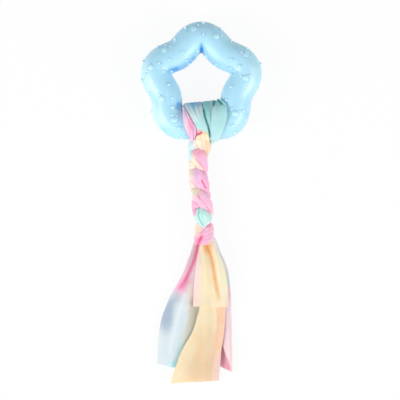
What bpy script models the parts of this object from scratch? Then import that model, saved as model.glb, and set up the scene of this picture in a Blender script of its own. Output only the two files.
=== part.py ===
"""Rope ring dog toy: a lobed rubber chew ring with a plait of soft cloth strips.

Three cloth strips are folded over the lowest stretch of the ring, plaited, knotted, and
left to fan out as six free ends. The toy lies flat on its back with the ring towards +Y,
and the origin is under the middle of its outline, on the surface that it rests on.

Bodies and their hinges (all along X):
  chew_ring
  loops, strands and end_knot swing about the ring's tube
  the tails swing below the knot, and front_tail lifts off the others
"""
import math

import bmesh
import bpy
import numpy as np
from mathutils import Matrix, Vector

# Driving dimensions, in metres
TOUCH_GAP = 0.0003

RING_MEAN_RADIUS = 0.0377
RING_LOBE_SWING = 0.0041
RING_TUBE_RADIUS = 0.0136
RING_LOBES = 5
CREASE_DEPTH = 0.0030
CREASE_WIDTH = 0.0022
CREASE_LENGTH = 0.0085

NUB_HEIGHT = 0.0018
NUB_BASE_RADIUS = 0.0013
NUB_TIP_RADIUS = 0.0009
NUB_ROOT = 0.0012
PAD_HEIGHT = 0.0009
PAD_BASE_RADIUS = 0.0032
PAD_TIP_RADIUS = 0.0024

LOOP_CLEARANCE = 0.0005
LOOP_THICKNESS = 0.0022
LOOP_BACK_THICKNESS = 0.0012
LOOP_REACH = 0.0238

PLAIT_LENGTH = 0.0760
PLAIT_TURN_LENGTH = 0.0535
PLAIT_WAVE_WIDTH = 0.0032
PLAIT_WAVE_DEPTH = 0.0026
PLAIT_SWAY = 0.0040
PLAIT_NECK_DROP = 0.0165
STRAND_RADIUS = 0.0057
STRAND_GAP = 0.0011
STRAND_LEAD = 0.0030

KNOT_LENGTH = 0.0190
KNOT_HALF_WIDTH = 0.0092
KNOT_HALF_DEPTH = 0.0078
KNOT_BAND_RISE = 0.0009
KNOT_SHIFT = 0.0018

NECK_RADIUS = 0.0060
NECK_HALF_WIDTH = 0.0092
CLOTH_THICKNESS = 0.0016
CLOTH_NECK_THICKNESS = 0.0025
CLOTH_DROP_LENGTH = 0.0450
CLOTH_ROW_STEP = 0.0140
FOLD_HEIGHT = 0.0024
FOLD_HALF_WIDTH = 0.0060
CLOTH_LAYER_GAP = 0.0006

LEFT_TAIL_LENGTH = 0.1060
LEFT_TAIL_REACH = 0.0425
RIGHT_TAIL_LENGTH = 0.1090
RIGHT_TAIL_REACH = 0.0260
BACK_TAIL_LENGTH = 0.1085
BACK_TAIL_REACH = 0.0262
HIDDEN_TAIL_LENGTH = 0.1050
HIDDEN_TAIL_REACH = 0.0310
LONG_TAIL_LENGTH = 0.1205
LONG_TAIL_REACH = 0.0303
FRONT_TAIL_LENGTH = 0.0518
FRONT_TAIL_REACH = 0.0238

# Counts
LOBE_STEPS = 18
SECTION_STEPS = 16
NUB_SIDES = 6
PAD_SIDES = 8
CENTRE_LINE_SAMPLES = 1440
SEARCH_STEPS = 40
LOOP_COLUMNS = 6
STRANDS = 3
STRAND_RINGS = 42
STRAND_SIDES = 12
KNOT_RINGS = 10
KNOT_SIDES = 22
TAIL_NECK_ROWS = 8
TAIL_COLUMNS = 10
TAIL_LAYERS = 4

# Nubs: turn from the lobe's middle and turn round the tube from its outer side, in degrees
OUTER_NUBS = ((-20.0, 0.0), (-2.0, 0.0), (16.5, 0.0), (34.0, 0.0))
FACE_NUBS = ((-3.0, 90.0), (19.0, 50.0), (25.0, 118.0), (-13.0, 122.0))
INNER_NUBS = ((-17.0, 172.0), (36.0, 180.0))
PADS = ((9.0, 62.0), (-21.0, 92.0))

# Colours of the moulding and the cloth
RING_BLUE = (0.42, 0.76, 0.93, 1.0)
PINK = (0.95, 0.52, 0.70, 1.0)
MINT = (0.55, 0.84, 0.81, 1.0)
SKY = (0.60, 0.86, 0.88, 1.0)
PEACH = (0.98, 0.78, 0.56, 1.0)
GREY_BLUE = (0.66, 0.76, 0.84, 1.0)
PALE_PINK = (0.97, 0.78, 0.82, 1.0)
RUBBER_ROUGHNESS = 0.38
CLOTH_ROUGHNESS = 0.9

# How the plait lies: rolled about its length, in degrees, where its turns start, and how
# flat it is pressed; and how sharply a strand is squeezed by its mates
PLAIT_ROLL = 50.0
PLAIT_START_SHARE = -0.19
PLAIT_FLAT_SHARE = 0.82
STRAND_SQUEEZE = 8.0

# Places worked out from the driving dimensions
TUBE_CENTRE_Z = RING_TUBE_RADIUS + NUB_HEIGHT
LOW_TUBE_DROP = RING_MEAN_RADIUS - RING_LOBE_SWING
PLAIT_TOP_DROP = LOW_TUBE_DROP + PLAIT_NECK_DROP
PLAIT_END_DROP = PLAIT_TOP_DROP + PLAIT_LENGTH
KNOT_TOP_DROP = PLAIT_END_DROP + TOUCH_GAP
KNOT_END_DROP = KNOT_TOP_DROP + KNOT_LENGTH
HINGE_DROP = KNOT_END_DROP + TOUCH_GAP + NECK_RADIUS
PLAIT_WAVE_HEIGHT = (PLAIT_WAVE_WIDTH * math.sin(math.radians(PLAIT_ROLL))
                     + PLAIT_WAVE_DEPTH * math.cos(math.radians(PLAIT_ROLL)))
PLAIT_MID_Z = PLAIT_FLAT_SHARE * (PLAIT_WAVE_HEIGHT + STRAND_RADIUS)
KNOT_MID_Z = KNOT_HALF_DEPTH
HINGE_Z = KNOT_MID_Z
LAYER_STEP = CLOTH_THICKNESS + CLOTH_LAYER_GAP
NECK_STEP = CLOTH_NECK_THICKNESS + TOUCH_GAP
OUTER_REACH = RING_MEAN_RADIUS + RING_LOBE_SWING + RING_TUBE_RADIUS + NUB_HEIGHT
TOTAL_LENGTH = OUTER_REACH + HINGE_DROP + LONG_TAIL_LENGTH
RING_Y = TOTAL_LENGTH / 2 - OUTER_REACH


def clear_scene():
    """Remove every object that the file starts with."""
    for item in list(bpy.data.objects):
        bpy.data.objects.remove(item, do_unlink=True)


def finish(name, colour, roughness):
    """Return a plain Principled BSDF material."""
    material = bpy.data.materials.new(name)
    material.use_nodes = True
    shader = material.node_tree.nodes["Principled BSDF"]
    shader.inputs["Base Color"].default_value = colour
    shader.inputs["Roughness"].default_value = roughness
    shader.inputs["Metallic"].default_value = 0.0
    return material


def add_object(name, data, material):
    """Link a new object that shows the given mesh or curve."""
    item = bpy.data.objects.new(name, data)
    bpy.context.scene.collection.objects.link(item)
    if material is not None:
        data.materials.append(material)
    return item


def mesh_from(name, bm):
    """Turn a bmesh into smooth-shaded mesh data with its faces pointing out."""
    bmesh.ops.recalc_face_normals(bm, faces=bm.faces[:])
    mesh = bpy.data.meshes.new(name)
    bm.to_mesh(mesh)
    bm.free()
    mesh.shade_smooth()
    return mesh


def set_origin(item, pivot):
    """Move an object's origin to a pivot and leave its shape where it is."""
    item.data.transform(Matrix.Translation(-pivot))
    item.location = pivot


def skin_between(bm, rings):
    """Skin a row of matching rings of vertices and close both ends."""
    for here, there in zip(rings, rings[1:]):
        for side in range(len(here)):
            following = (side + 1) % len(here)
            bm.faces.new((here[side], here[following], there[following], there[side]))
    bm.faces.new(rings[0])
    bm.faces.new(rings[-1])


def smooth_step(share):
    """Ease from 0 to 1 as the share goes from 0 to 1."""
    held = min(max(share, 0.0), 1.0)
    return held * held * (3.0 - 2.0 * held)


def read_table(rows, share, column):
    """Read a column of a table of (share, value, ...) rows, straight between its rows."""
    for low, high in zip(rows, rows[1:]):
        if share <= high[0]:
            part = (share - low[0]) / (high[0] - low[0])
            return low[column] + (high[column] - low[column]) * part
    return rows[-1][column]


# Chew ring

def lobe_angle(index):
    """Angle of a lobe's middle about the ring's centre; the first points to +Y."""
    return math.radians(90.0) + index * 2.0 * math.pi / RING_LOBES


def centre_radius(angle):
    """Distance of the tube's centre line from the ring's centre."""
    return RING_MEAN_RADIUS + RING_LOBE_SWING * math.cos(RING_LOBES * (angle - lobe_angle(0)))


def centre_point(angle):
    """Point of the tube's centre line, in the ring's own plan."""
    radius = centre_radius(angle)
    return Vector((radius * math.cos(angle), radius * math.sin(angle), 0.0))


def outward(angle):
    """Unit vector across the tube's centre line, away from the ring's centre."""
    slope = -RING_LOBES * RING_LOBE_SWING * math.sin(RING_LOBES * (angle - lobe_angle(0)))
    radius = centre_radius(angle)
    along = Vector((slope * math.cos(angle) - radius * math.sin(angle),
                    slope * math.sin(angle) + radius * math.cos(angle), 0.0))
    return Vector((along.y, -along.x, 0.0)).normalized()


CENTRE_LINE = np.array([centre_point(2.0 * math.pi * i / CENTRE_LINE_SAMPLES)[:2]
                        for i in range(CENTRE_LINE_SAMPLES)])


def off_centre_line(x, y):
    """Distance in plan from the tube's centre line."""
    return float(np.hypot(CENTRE_LINE[:, 0] - x, CENTRE_LINE[:, 1] - y).min())


def rim_radius(angle, side, reach):
    """Radius at which the tube's outer (+1) or inner (-1) edge crosses a ray."""
    near = 0.0
    far = 2.0 * reach
    start = centre_radius(angle)
    for _ in range(SEARCH_STEPS):
        half = (near + far) / 2.0
        radius = start + side * half
        if off_centre_line(radius * math.cos(angle), radius * math.sin(angle)) < reach:
            near = half
        else:
            far = half
    return start + side * near


def crease(turn_off, radius, inner):
    """Depth of the fold at a lobe's inner side: deepest in the lobe's own plane."""
    beside = radius * abs(turn_off) / CREASE_WIDTH
    along = 1.0 - (radius - inner) / CREASE_LENGTH
    return CREASE_DEPTH * math.exp(-beside) * smooth_step(along)


def lobe_profile():
    """Sections of one lobe: rows of (radius, height), one row for each step of angle."""
    rows = []
    for step in range(LOBE_STEPS):
        angle = lobe_angle(0) + step * 2.0 * math.pi / (RING_LOBES * LOBE_STEPS)
        outer = rim_radius(angle, 1.0, RING_TUBE_RADIUS)
        inner = rim_radius(angle, -1.0, RING_TUBE_RADIUS)
        turn_off = min(step, LOBE_STEPS - step) * 2.0 * math.pi / (RING_LOBES * LOBE_STEPS)
        row = []
        for turn in range(SECTION_STEPS):
            phase = 2.0 * math.pi * turn / SECTION_STEPS
            radius = (outer + inner) / 2.0 + (outer - inner) / 2.0 * math.cos(phase)
            away = off_centre_line(radius * math.cos(angle), radius * math.sin(angle))
            rise = math.sqrt(max(RING_TUBE_RADIUS ** 2 - away ** 2, 0.0))
            rise = max(rise - crease(turn_off, radius, inner), rise / 2.0)
            if turn in (0, SECTION_STEPS // 2):
                rise = 0.0
            row.append((radius, math.copysign(rise, math.sin(phase))))
        rows.append(row)
    return rows


def ring_tube():
    """Closed lobed tube, folded into a crease at the inner side of each lobe."""
    profile = lobe_profile()
    bm = bmesh.new()
    rings = []
    for lobe in range(RING_LOBES):
        for step, row in enumerate(profile):
            angle = lobe_angle(lobe) + step * 2.0 * math.pi / (RING_LOBES * LOBE_STEPS)
            rings.append([bm.verts.new((radius * math.cos(angle),
                                        radius * math.sin(angle), rise))
                          for radius, rise in row])
    for here, there in zip(rings, rings[1:] + rings[:1]):
        for turn in range(SECTION_STEPS):
            following = (turn + 1) % SECTION_STEPS
            bm.faces.new((here[turn], here[following], there[following], there[turn]))
    return bm


def covered_by_cloth(place):
    """True where the cloth loops lie on the ring."""
    left = min(row[1] for row in LOOP_EDGE_SHARES) * LOOP_REACH
    right = max(row[-1] for row in LOOP_EDGE_SHARES) * LOOP_REACH
    return place.y < 0.0 and left < place.x < right + NUB_BASE_RADIUS


def add_stud(bm, foot, direction, base_radius, tip_radius, height, sides):
    """Add one tapered stud that is rooted in the tube and ends in a flat tip."""
    depth = height + NUB_ROOT
    turn = Vector((0.0, 0.0, 1.0)).rotation_difference(direction).to_matrix().to_4x4()
    middle = foot + direction * (height - NUB_ROOT) / 2.0
    bmesh.ops.create_cone(bm, cap_ends=True, segments=sides, radius1=base_radius,
                          radius2=tip_radius, depth=depth,
                          matrix=Matrix.Translation(middle) @ turn)


def studs():
    """All nubs and raised pads, repeated on each lobe and on both faces."""
    bm = bmesh.new()
    both_faces = [(place, NUB_BASE_RADIUS, NUB_TIP_RADIUS, NUB_HEIGHT, NUB_SIDES)
                  for place in FACE_NUBS]
    both_faces += [(place, PAD_BASE_RADIUS, PAD_TIP_RADIUS, PAD_HEIGHT, PAD_SIDES)
                   for place in PADS]
    edge = [(place, NUB_BASE_RADIUS, NUB_TIP_RADIUS, NUB_HEIGHT, NUB_SIDES)
            for place in OUTER_NUBS + INNER_NUBS]
    for lobe in range(RING_LOBES):
        for face, table in ((1.0, both_faces + edge), (-1.0, both_faces)):
            for (turn, around), base, tip, height, sides in table:
                angle = lobe_angle(lobe) + math.radians(turn)
                lean = math.radians(around)
                direction = outward(angle) * math.cos(lean)
                direction += Vector((0.0, 0.0, face * math.sin(lean)))
                foot = centre_point(angle) + direction * RING_TUBE_RADIUS
                if not covered_by_cloth(foot):
                    add_stud(bm, foot, direction, base, tip, height, sides)
    return bm


def build_ring(material):
    """Ring moulding: the lobed tube with its nubs and pads fused on."""
    centre = Vector((0.0, RING_Y, TUBE_CENTRE_Z))
    tool = add_object("ring_stud_tool", mesh_from("ring_stud_tool", studs()), None)
    tool.hide_render = True
    tool.display_type = "WIRE"
    tool.location = centre
    ring = add_object("chew_ring", mesh_from("chew_ring", ring_tube()), material)
    ring.location = centre
    join = ring.modifiers.new("studs", "BOOLEAN")
    join.operation = "UNION"
    join.solver = "EXACT"
    join.object = tool
    return ring


# Cloth loops over the ring

# Wrap stages: share of the wrap, turn round the tube from the hole side in degrees
WRAP_TURN_SHARES = ((0.0, 168.0), (1.0, -114.0))
WRAP_STEPS = 15
LEG_STEPS = 4

# The cloth thins out over this stretch of the wrap, towards the back
BACK_START_SHARE = 0.5
BACK_SPAN_SHARE = 0.4

# Thickness of a loop at its edges, depth of its pleats, and its least height at the neck
LOOP_HEM_SHARE = 0.55
LOOP_PLEAT_SHARE = 0.35
LOOP_NECK_SHARE = 0.7

# Edges of the three loops as shares of the reach, from the front neck round to the back
# neck: share of the way, left edge, seam of pink and mint, seam of mint and sky, right edge
LOOP_EDGE_SHARES = (
    (0.00, -0.33, -0.13, 0.13, 0.37),
    (0.10, -0.42, -0.10, 0.28, 0.50),
    (0.17, -0.55, -0.16, 0.28, 0.68),
    (0.22, -0.64, -0.24, 0.24, 0.82),
    (0.28, -0.70, -0.34, 0.18, 0.93),
    (0.34, -0.71, -0.44, 0.12, 0.95),
    (0.40, -0.66, -0.50, 0.07, 0.82),
    (0.46, -0.61, -0.51, 0.04, 0.66),
    (0.52, -0.60, -0.50, 0.02, 0.60),
    (0.62, -0.60, -0.44, 0.04, 0.60),
    (0.82, -0.54, -0.24, 0.16, 0.62),
    (1.00, -0.33, -0.13, 0.13, 0.37),
)


def tube_drop(x):
    """How far below the ring's centre the low stretch of the centre line is, at x."""
    low = CENTRE_LINE[CENTRE_LINE[:, 1] < 0.0]
    return -float(low[np.abs(low[:, 0] - x).argmin(), 1])


def off_tube(x, turn, offset):
    """Point above the tube's skin at x, seen at a turn round the tube, in ring plan."""
    drop = tube_drop(x)
    near = 0.0
    far = 2.0 * (RING_TUBE_RADIUS + offset)
    for _ in range(SEARCH_STEPS):
        half = (near + far) / 2.0
        away = math.hypot(off_centre_line(x, -drop + half * math.cos(turn)),
                          half * math.sin(turn))
        if away < RING_TUBE_RADIUS + offset:
            near = half
        else:
            far = half
    return Vector((x, -drop + near * math.cos(turn), near * math.sin(turn)))


def clear_of_tube(place, offset):
    """Push a point that lies nearer to the tube than the offset out to it."""
    drop = tube_drop(place.x)
    if math.hypot(off_centre_line(place.x, place.y), place.z) >= RING_TUBE_RADIUS + offset:
        return place
    return off_tube(place.x, math.atan2(place.z, place.y + drop), offset)


def loop_skin(x, way, crown):
    """Inner and outer points of a loop at x, a share of the way from neck to neck."""
    leg_share = LEG_STEPS / (2.0 * LEG_STEPS + WRAP_STEPS)
    wrap = (way - leg_share) / (1.0 - 2.0 * leg_share)
    turn = math.radians(read_table(WRAP_TURN_SHARES, min(max(wrap, 0.0), 1.0), 1))
    back = smooth_step((wrap - BACK_START_SHARE) / BACK_SPAN_SHARE)
    thickness = crown * (LOOP_THICKNESS + (LOOP_BACK_THICKNESS - LOOP_THICKNESS) * back)
    inner = off_tube(x, turn, LOOP_CLEARANCE)
    outer = off_tube(x, turn, LOOP_CLEARANCE + thickness)
    if 0.0 <= wrap <= 1.0:
        return inner, outer
    front = wrap < 0.0
    leg = -wrap if front else wrap - 1.0
    leg *= (1.0 - 2.0 * leg_share) / leg_share
    neck_y = -(PLAIT_TOP_DROP - TOUCH_GAP)
    plait_mid = PLAIT_MID_Z - TUBE_CENTRE_Z
    side = 1.0 if front else -1.0
    height = (PLAIT_MID_Z - TOUCH_GAP) * (LOOP_NECK_SHARE + (1.0 - LOOP_NECK_SHARE) * crown)
    seat = Vector((x, neck_y, plait_mid + side * TOUCH_GAP / 2.0))
    top = Vector((x, neck_y, plait_mid + side * height))
    return (clear_of_tube(inner.lerp(seat, leg), LOOP_CLEARANCE),
            clear_of_tube(outer.lerp(top, leg), LOOP_CLEARANCE + thickness * (1.0 - leg)))


def slab(name, lower, upper, material):
    """Closed sheet of cloth between two grids of points that match row for row."""
    bm = bmesh.new()
    under = [[bm.verts.new(point) for point in row] for row in lower]
    over = [[bm.verts.new(point) for point in row] for row in upper]
    rows = len(lower)
    columns = len(lower[0])
    for grid in (under, over):
        for r in range(rows - 1):
            for c in range(columns - 1):
                bm.faces.new((grid[r][c], grid[r][c + 1], grid[r + 1][c + 1], grid[r + 1][c]))
    for r in range(rows - 1):
        for c in (0, columns - 1):
            bm.faces.new((under[r][c], under[r + 1][c], over[r + 1][c], over[r][c]))
    for c in range(columns - 1):
        for r in (0, rows - 1):
            bm.faces.new((under[r][c], under[r][c + 1], over[r][c + 1], over[r][c]))
    return add_object(name, mesh_from(name, bm), material)


def build_loop(name, column, folds, material):
    """One strip folded over the ring, between two of the seams in the edge table."""
    lower = []
    upper = []
    steps = 2 * LEG_STEPS + WRAP_STEPS
    shift = Vector((0.0, RING_Y, TUBE_CENTRE_Z))
    for row in range(steps + 1):
        way = row / steps
        edges = []
        for index in (column, column + 1):
            share = read_table(LOOP_EDGE_SHARES, way, index)
            edges.append(share * LOOP_REACH)
        left = edges[0] + TOUCH_GAP / 2.0
        right = edges[1] - TOUCH_GAP / 2.0
        inner_row = []
        outer_row = []
        for step in range(LOOP_COLUMNS + 1):
            across = step / LOOP_COLUMNS
            rim = math.sqrt(max(math.sin(math.pi * across), 0.0))
            pleat = (1.0 + math.cos(2.0 * math.pi * folds * across)) / 2.0
            crown = LOOP_HEM_SHARE + (1.0 - LOOP_HEM_SHARE) * rim
            crown -= LOOP_PLEAT_SHARE * rim * pleat
            inner, outer = loop_skin(left + (right - left) * across, way, crown)
            inner_row.append(inner + shift)
            outer_row.append(outer + shift)
        lower.append(inner_row)
        upper.append(outer_row)
    loop = slab(name, lower, upper, material)
    set_origin(loop, Vector((0.0, RING_Y - LOW_TUBE_DROP, TUBE_CENTRE_Z)))
    return loop


# Plait and knot

# The plait bows to one side over this share of its length, and then runs back
PLAIT_BOW_SHARE = 0.86


def plait_sway(share):
    """Sideways place of the plait's middle, at a share of its length from the ring."""
    return -PLAIT_SWAY * math.sin(math.pi * share / PLAIT_BOW_SHARE)


def strand_middle(index, share):
    """Middle of one strand, off the plait's own middle: a rolled figure of eight."""
    lead_share = STRAND_LEAD / PLAIT_LENGTH
    held = min(max(share, lead_share), 1.0 - lead_share)
    turn = held * PLAIT_LENGTH / PLAIT_TURN_LENGTH + index / STRANDS + PLAIT_START_SHARE
    turn *= 2.0 * math.pi
    roll = math.radians(PLAIT_ROLL)
    across = PLAIT_WAVE_WIDTH * math.sin(turn)
    over = PLAIT_WAVE_DEPTH * math.sin(2.0 * turn)
    return Vector((across * math.cos(roll) - over * math.sin(roll), 0.0,
                   across * math.sin(roll) + over * math.cos(roll)))


def strand_reach(index, share, turn):
    """How far a soft strand swells in one direction before it presses on another strand."""
    here = strand_middle(index, share)
    squeeze = STRAND_RADIUS ** -STRAND_SQUEEZE
    for other in range(STRANDS):
        if other == index:
            continue
        to_mate = strand_middle(other, share) - here
        facing = math.cos(turn - math.atan2(to_mate.z, to_mate.x))
        if facing > 0.0:
            squeeze += ((to_mate.length - STRAND_GAP) / 2.0 / facing) ** -STRAND_SQUEEZE
    return squeeze ** (-1.0 / STRAND_SQUEEZE)


def build_strand(name, index, material):
    """One strand of the plait, pressed flat where it lies on the other two."""
    bm = bmesh.new()
    rings = []
    for step in range(STRAND_RINGS + 1):
        share = step / STRAND_RINGS
        middle = strand_middle(index, share)
        ring = []
        for side in range(STRAND_SIDES):
            turn = 2.0 * math.pi * side / STRAND_SIDES
            reach = strand_reach(index, share, turn)
            ring.append(bm.verts.new((
                plait_sway(share) + middle.x + reach * math.cos(turn),
                RING_Y - PLAIT_TOP_DROP - share * PLAIT_LENGTH,
                PLAIT_MID_Z + PLAIT_FLAT_SHARE * (middle.z + reach * math.sin(turn)))))
        rings.append(ring)
    skin_between(bm, rings)
    strand = add_object(name, mesh_from(name, bm), material)
    set_origin(strand, Vector((0.0, RING_Y - LOW_TUBE_DROP, TUBE_CENTRE_Z)))
    return strand


# Half-size of the knot along its length, as shares of its widest
KNOT_SWELL_SHARES = ((0.0, 0.80), (0.12, 0.95), (0.45, 1.0), (0.75, 0.98), (0.9, 0.9), (1.0, 0.70))

# Where the band starts down the knot, midway round it, and how soon it rises to full height
KNOT_BAND_SHARE = 0.30
KNOT_BAND_EDGE_SHARE = 0.20


def build_knot(material):
    """The wrapped knot: a swelling barrel with an oblique band drawn round it."""
    bm = bmesh.new()
    rings = []
    for step in range(KNOT_RINGS + 1):
        share = step / KNOT_RINGS
        swell = read_table(KNOT_SWELL_SHARES, share, 1)
        ring = []
        for side in range(KNOT_SIDES):
            turn = 2.0 * math.pi * side / KNOT_SIDES
            start = KNOT_BAND_SHARE * (1.0 - math.cos(turn))
            band = smooth_step((share - start) / KNOT_BAND_EDGE_SHARE)
            band *= smooth_step((1.0 - share) / KNOT_BAND_EDGE_SHARE)
            out = swell - (1.0 - band) * KNOT_BAND_RISE / KNOT_HALF_WIDTH
            ring.append(bm.verts.new((
                KNOT_SHIFT + KNOT_HALF_WIDTH * out * math.cos(turn),
                RING_Y - KNOT_TOP_DROP - KNOT_LENGTH * share,
                KNOT_MID_Z + KNOT_HALF_DEPTH * out * math.sin(turn))))
        rings.append(ring)
    skin_between(bm, rings)
    knot = add_object("end_knot", mesh_from("end_knot", bm), material)
    set_origin(knot, Vector((0.0, RING_Y - LOW_TUBE_DROP, TUBE_CENTRE_Z)))
    return knot


# Tails

# Each tail: how far down its length, then its left and right edges as shares of its reach
LEFT_TAIL_SHARES = ((0.0, -0.20, -0.02), (0.06, -0.32, -0.03), (0.12, -0.37, -0.03),
                    (0.22, -0.465, -0.04), (0.31, -0.59, -0.05), (0.45, -0.81, -0.05),
                    (0.55, -0.895, -0.06), (0.62, -0.935, -0.08), (0.76, -0.98, -0.12),
                    (1.0, -1.0, -0.22))
RIGHT_TAIL_SHARES = ((0.0, 0.06, 0.36), (0.06, 0.10, 0.60), (0.18, 0.18, 0.76),
                     (0.32, 0.26, 0.92), (0.46, 0.34, 0.97), (0.79, 0.61, 0.99),
                     (1.0, 0.90, 1.0))
BACK_TAIL_SHARES = ((0.0, 0.06, 0.32), (0.10, 0.12, 0.56), (0.40, 0.26, 0.88), (1.0, 0.44, 0.98))
HIDDEN_TAIL_SHARES = ((0.0, -0.20, 0.01), (0.15, -0.42, 0.0), (0.50, -0.84, 0.0),
                      (0.80, -0.99, -0.05), (1.0, -1.0, -0.20))
LONG_TAIL_SHARES = ((0.0, -0.12, 0.26), (0.16, -0.14, 0.55), (0.44, -0.11, 0.67),
                    (0.50, -0.13, 0.66), (0.59, -0.32, 0.64), (0.69, -0.54, 0.55),
                    (0.88, -0.86, 0.49), (1.0, -1.0, 0.46))
FRONT_TAIL_SHARES = ((0.0, -0.12, 0.42), (0.12, -0.25, 0.66), (0.44, -0.33, 0.85),
                     (0.69, -0.38, 0.92), (1.0, -0.40, 0.88))

# How much longer each tail is at its right edge than at its left, as a share of its length
LEFT_HEM_SHARE = 0.06
RIGHT_HEM_SHARE = 0.08
BACK_HEM_SHARE = 0.06
HIDDEN_HEM_SHARE = 0.03
LONG_HEM_SHARE = -0.02
FRONT_HEM_SHARE = 0.01

# Folds that run down the lying cloth: place at the neck, place at the full length of the
# long tail, as shares of the neck's half-width and of the left tail's reach
FOLD_RUN_SHARES = ((-0.35, -0.64), (0.10, 0.02), (0.85, 0.62))
FOLD_START_SHARE = 0.16


def fold_rise(x, drop):
    """Height that the folds lift the lying cloth by, at x and at a drop below the hinge."""
    share = drop / LONG_TAIL_LENGTH
    rise = 0.0
    for start, end in FOLD_RUN_SHARES:
        middle = start * NECK_HALF_WIDTH
        middle += (end * LEFT_TAIL_REACH - start * NECK_HALF_WIDTH) * share
        near = (x - middle) / FOLD_HALF_WIDTH
        rise += FOLD_HEIGHT * math.exp(-near * near)
    return rise * smooth_step(share / FOLD_START_SHARE)


def lift_to_layer(layer, drop):
    """Underside height of a layer of cloth at a drop below the hinge."""
    settled = smooth_step(drop / CLOTH_DROP_LENGTH)
    at_neck = HINGE_Z + (layer - TAIL_LAYERS / 2.0) * NECK_STEP + TOUCH_GAP / 2.0
    return at_neck + (layer * LAYER_STEP - at_neck) * settled


def cloth_depth(drop):
    """Thickness of one layer, gathered at the neck and a plain sheet further down."""
    settled = smooth_step(drop / CLOTH_DROP_LENGTH)
    return CLOTH_NECK_THICKNESS + (CLOTH_THICKNESS - CLOTH_NECK_THICKNESS) * settled


def neck_reach(height):
    """How far above the hinge the rounded neck of the tails comes, at a height."""
    return math.sqrt(max(NECK_RADIUS ** 2 - (height - HINGE_Z) ** 2, 0.0))


def row_drops(length):
    """Drops of a tail's rows: close together where the cloth comes down, then wider."""
    drops = [CLOTH_DROP_LENGTH * row / TAIL_NECK_ROWS for row in range(TAIL_NECK_ROWS)]
    flat = length - CLOTH_DROP_LENGTH
    steps = max(math.ceil(flat / CLOTH_ROW_STEP), 1)
    return drops + [CLOTH_DROP_LENGTH + flat * step / steps for step in range(steps + 1)]


def build_tail(name, layer, length, reach, edges, hem_slant, material, pivot=None, cap=None):
    """One free end: a sheet that leaves the neck and settles on the cloth below it."""
    lower = []
    upper = []
    for row, place in enumerate(row_drops(length)):
        way = place / length
        left = read_table(edges, way, 1) * reach
        right = read_table(edges, way, 2) * reach
        low_row = []
        high_row = []
        for column in range(TAIL_COLUMNS + 1):
            across = column / TAIL_COLUMNS
            x = left + (right - left) * across
            drop = place * (1.0 + hem_slant * (across - 0.5) * way)
            low_folds = fold_rise(x, drop) if layer > 0 else 0.0
            low = lift_to_layer(layer, drop) + low_folds
            high = lift_to_layer(layer, drop) + cloth_depth(drop) + fold_rise(x, drop)
            if row == 0:
                low_y = RING_Y - HINGE_DROP + neck_top(low, pivot, cap)
                high_y = RING_Y - HINGE_DROP + neck_top(high, pivot, cap)
            else:
                low_y = RING_Y - HINGE_DROP - drop
                high_y = low_y
            low_row.append(Vector((x + KNOT_SHIFT, low_y, low)))
            high_row.append(Vector((x + KNOT_SHIFT, high_y, high)))
        lower.append(low_row)
        upper.append(high_row)
    tail = slab(name, lower, upper, material)
    set_origin(tail, pivot if pivot else Vector((0.0, RING_Y - HINGE_DROP, HINGE_Z)))
    return tail


def neck_top(height, pivot, cap):
    """Where a tail's upper end lies above the hinge: on the neck's round, or on its own."""
    if pivot is None:
        return neck_reach(height)
    return pivot.y - (RING_Y - HINGE_DROP) + math.sqrt(max(cap ** 2 - (height - pivot.z) ** 2, 0.0))


def build_tails(finishes):
    """All six free ends, from the layer on the floor to the short one on top."""
    floor_layer, second_layer, third_layer, top_layer = range(TAIL_LAYERS)
    build_tail("back_tail", floor_layer, BACK_TAIL_LENGTH, BACK_TAIL_REACH,
               BACK_TAIL_SHARES, BACK_HEM_SHARE, finishes["pink"])
    build_tail("hidden_tail", floor_layer, HIDDEN_TAIL_LENGTH, HIDDEN_TAIL_REACH,
               HIDDEN_TAIL_SHARES, HIDDEN_HEM_SHARE, finishes["mint"])
    build_tail("left_tail", second_layer, LEFT_TAIL_LENGTH, LEFT_TAIL_REACH,
               LEFT_TAIL_SHARES, LEFT_HEM_SHARE, finishes["grey_blue"])
    build_tail("right_tail", second_layer, RIGHT_TAIL_LENGTH, RIGHT_TAIL_REACH,
               RIGHT_TAIL_SHARES, RIGHT_HEM_SHARE, finishes["pale_pink"])
    build_tail("long_tail", third_layer, LONG_TAIL_LENGTH, LONG_TAIL_REACH,
               LONG_TAIL_SHARES, LONG_HEM_SHARE, finishes["peach"])
    middle = lift_to_layer(top_layer, 0.0) + CLOTH_NECK_THICKNESS / 2.0
    cap = CLOTH_NECK_THICKNESS / 2.0
    reach = math.sqrt((NECK_RADIUS - cap) ** 2 - (middle - HINGE_Z) ** 2)
    pivot = Vector((0.0, RING_Y - HINGE_DROP + reach, middle))
    build_tail("front_tail", top_layer, FRONT_TAIL_LENGTH, FRONT_TAIL_REACH,
               FRONT_TAIL_SHARES, FRONT_HEM_SHARE, finishes["peach"], pivot, cap)


def main():
    """Build the toy."""
    clear_scene()
    finishes = {
        "ring": finish("ring_rubber", RING_BLUE, RUBBER_ROUGHNESS),
        "pink": finish("cloth_pink", PINK, CLOTH_ROUGHNESS),
        "mint": finish("cloth_mint", MINT, CLOTH_ROUGHNESS),
        "sky": finish("cloth_sky", SKY, CLOTH_ROUGHNESS),
        "peach": finish("cloth_peach", PEACH, CLOTH_ROUGHNESS),
        "grey_blue": finish("cloth_grey_blue", GREY_BLUE, CLOTH_ROUGHNESS),
        "pale_pink": finish("cloth_pale_pink", PALE_PINK, CLOTH_ROUGHNESS),
    }
    build_ring(finishes["ring"])
    build_loop("pink_loop", 1, 1, finishes["pink"])
    build_loop("mint_loop", 2, 2, finishes["mint"])
    build_loop("sky_loop", 3, 2, finishes["sky"])
    build_strand("strand_left", 0, finishes["pink"])
    build_strand("strand_middle", 1, finishes["peach"])
    build_strand("strand_right", 2, finishes["sky"])
    build_knot(finishes["pink"])
    build_tails(finishes)


main()
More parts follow.
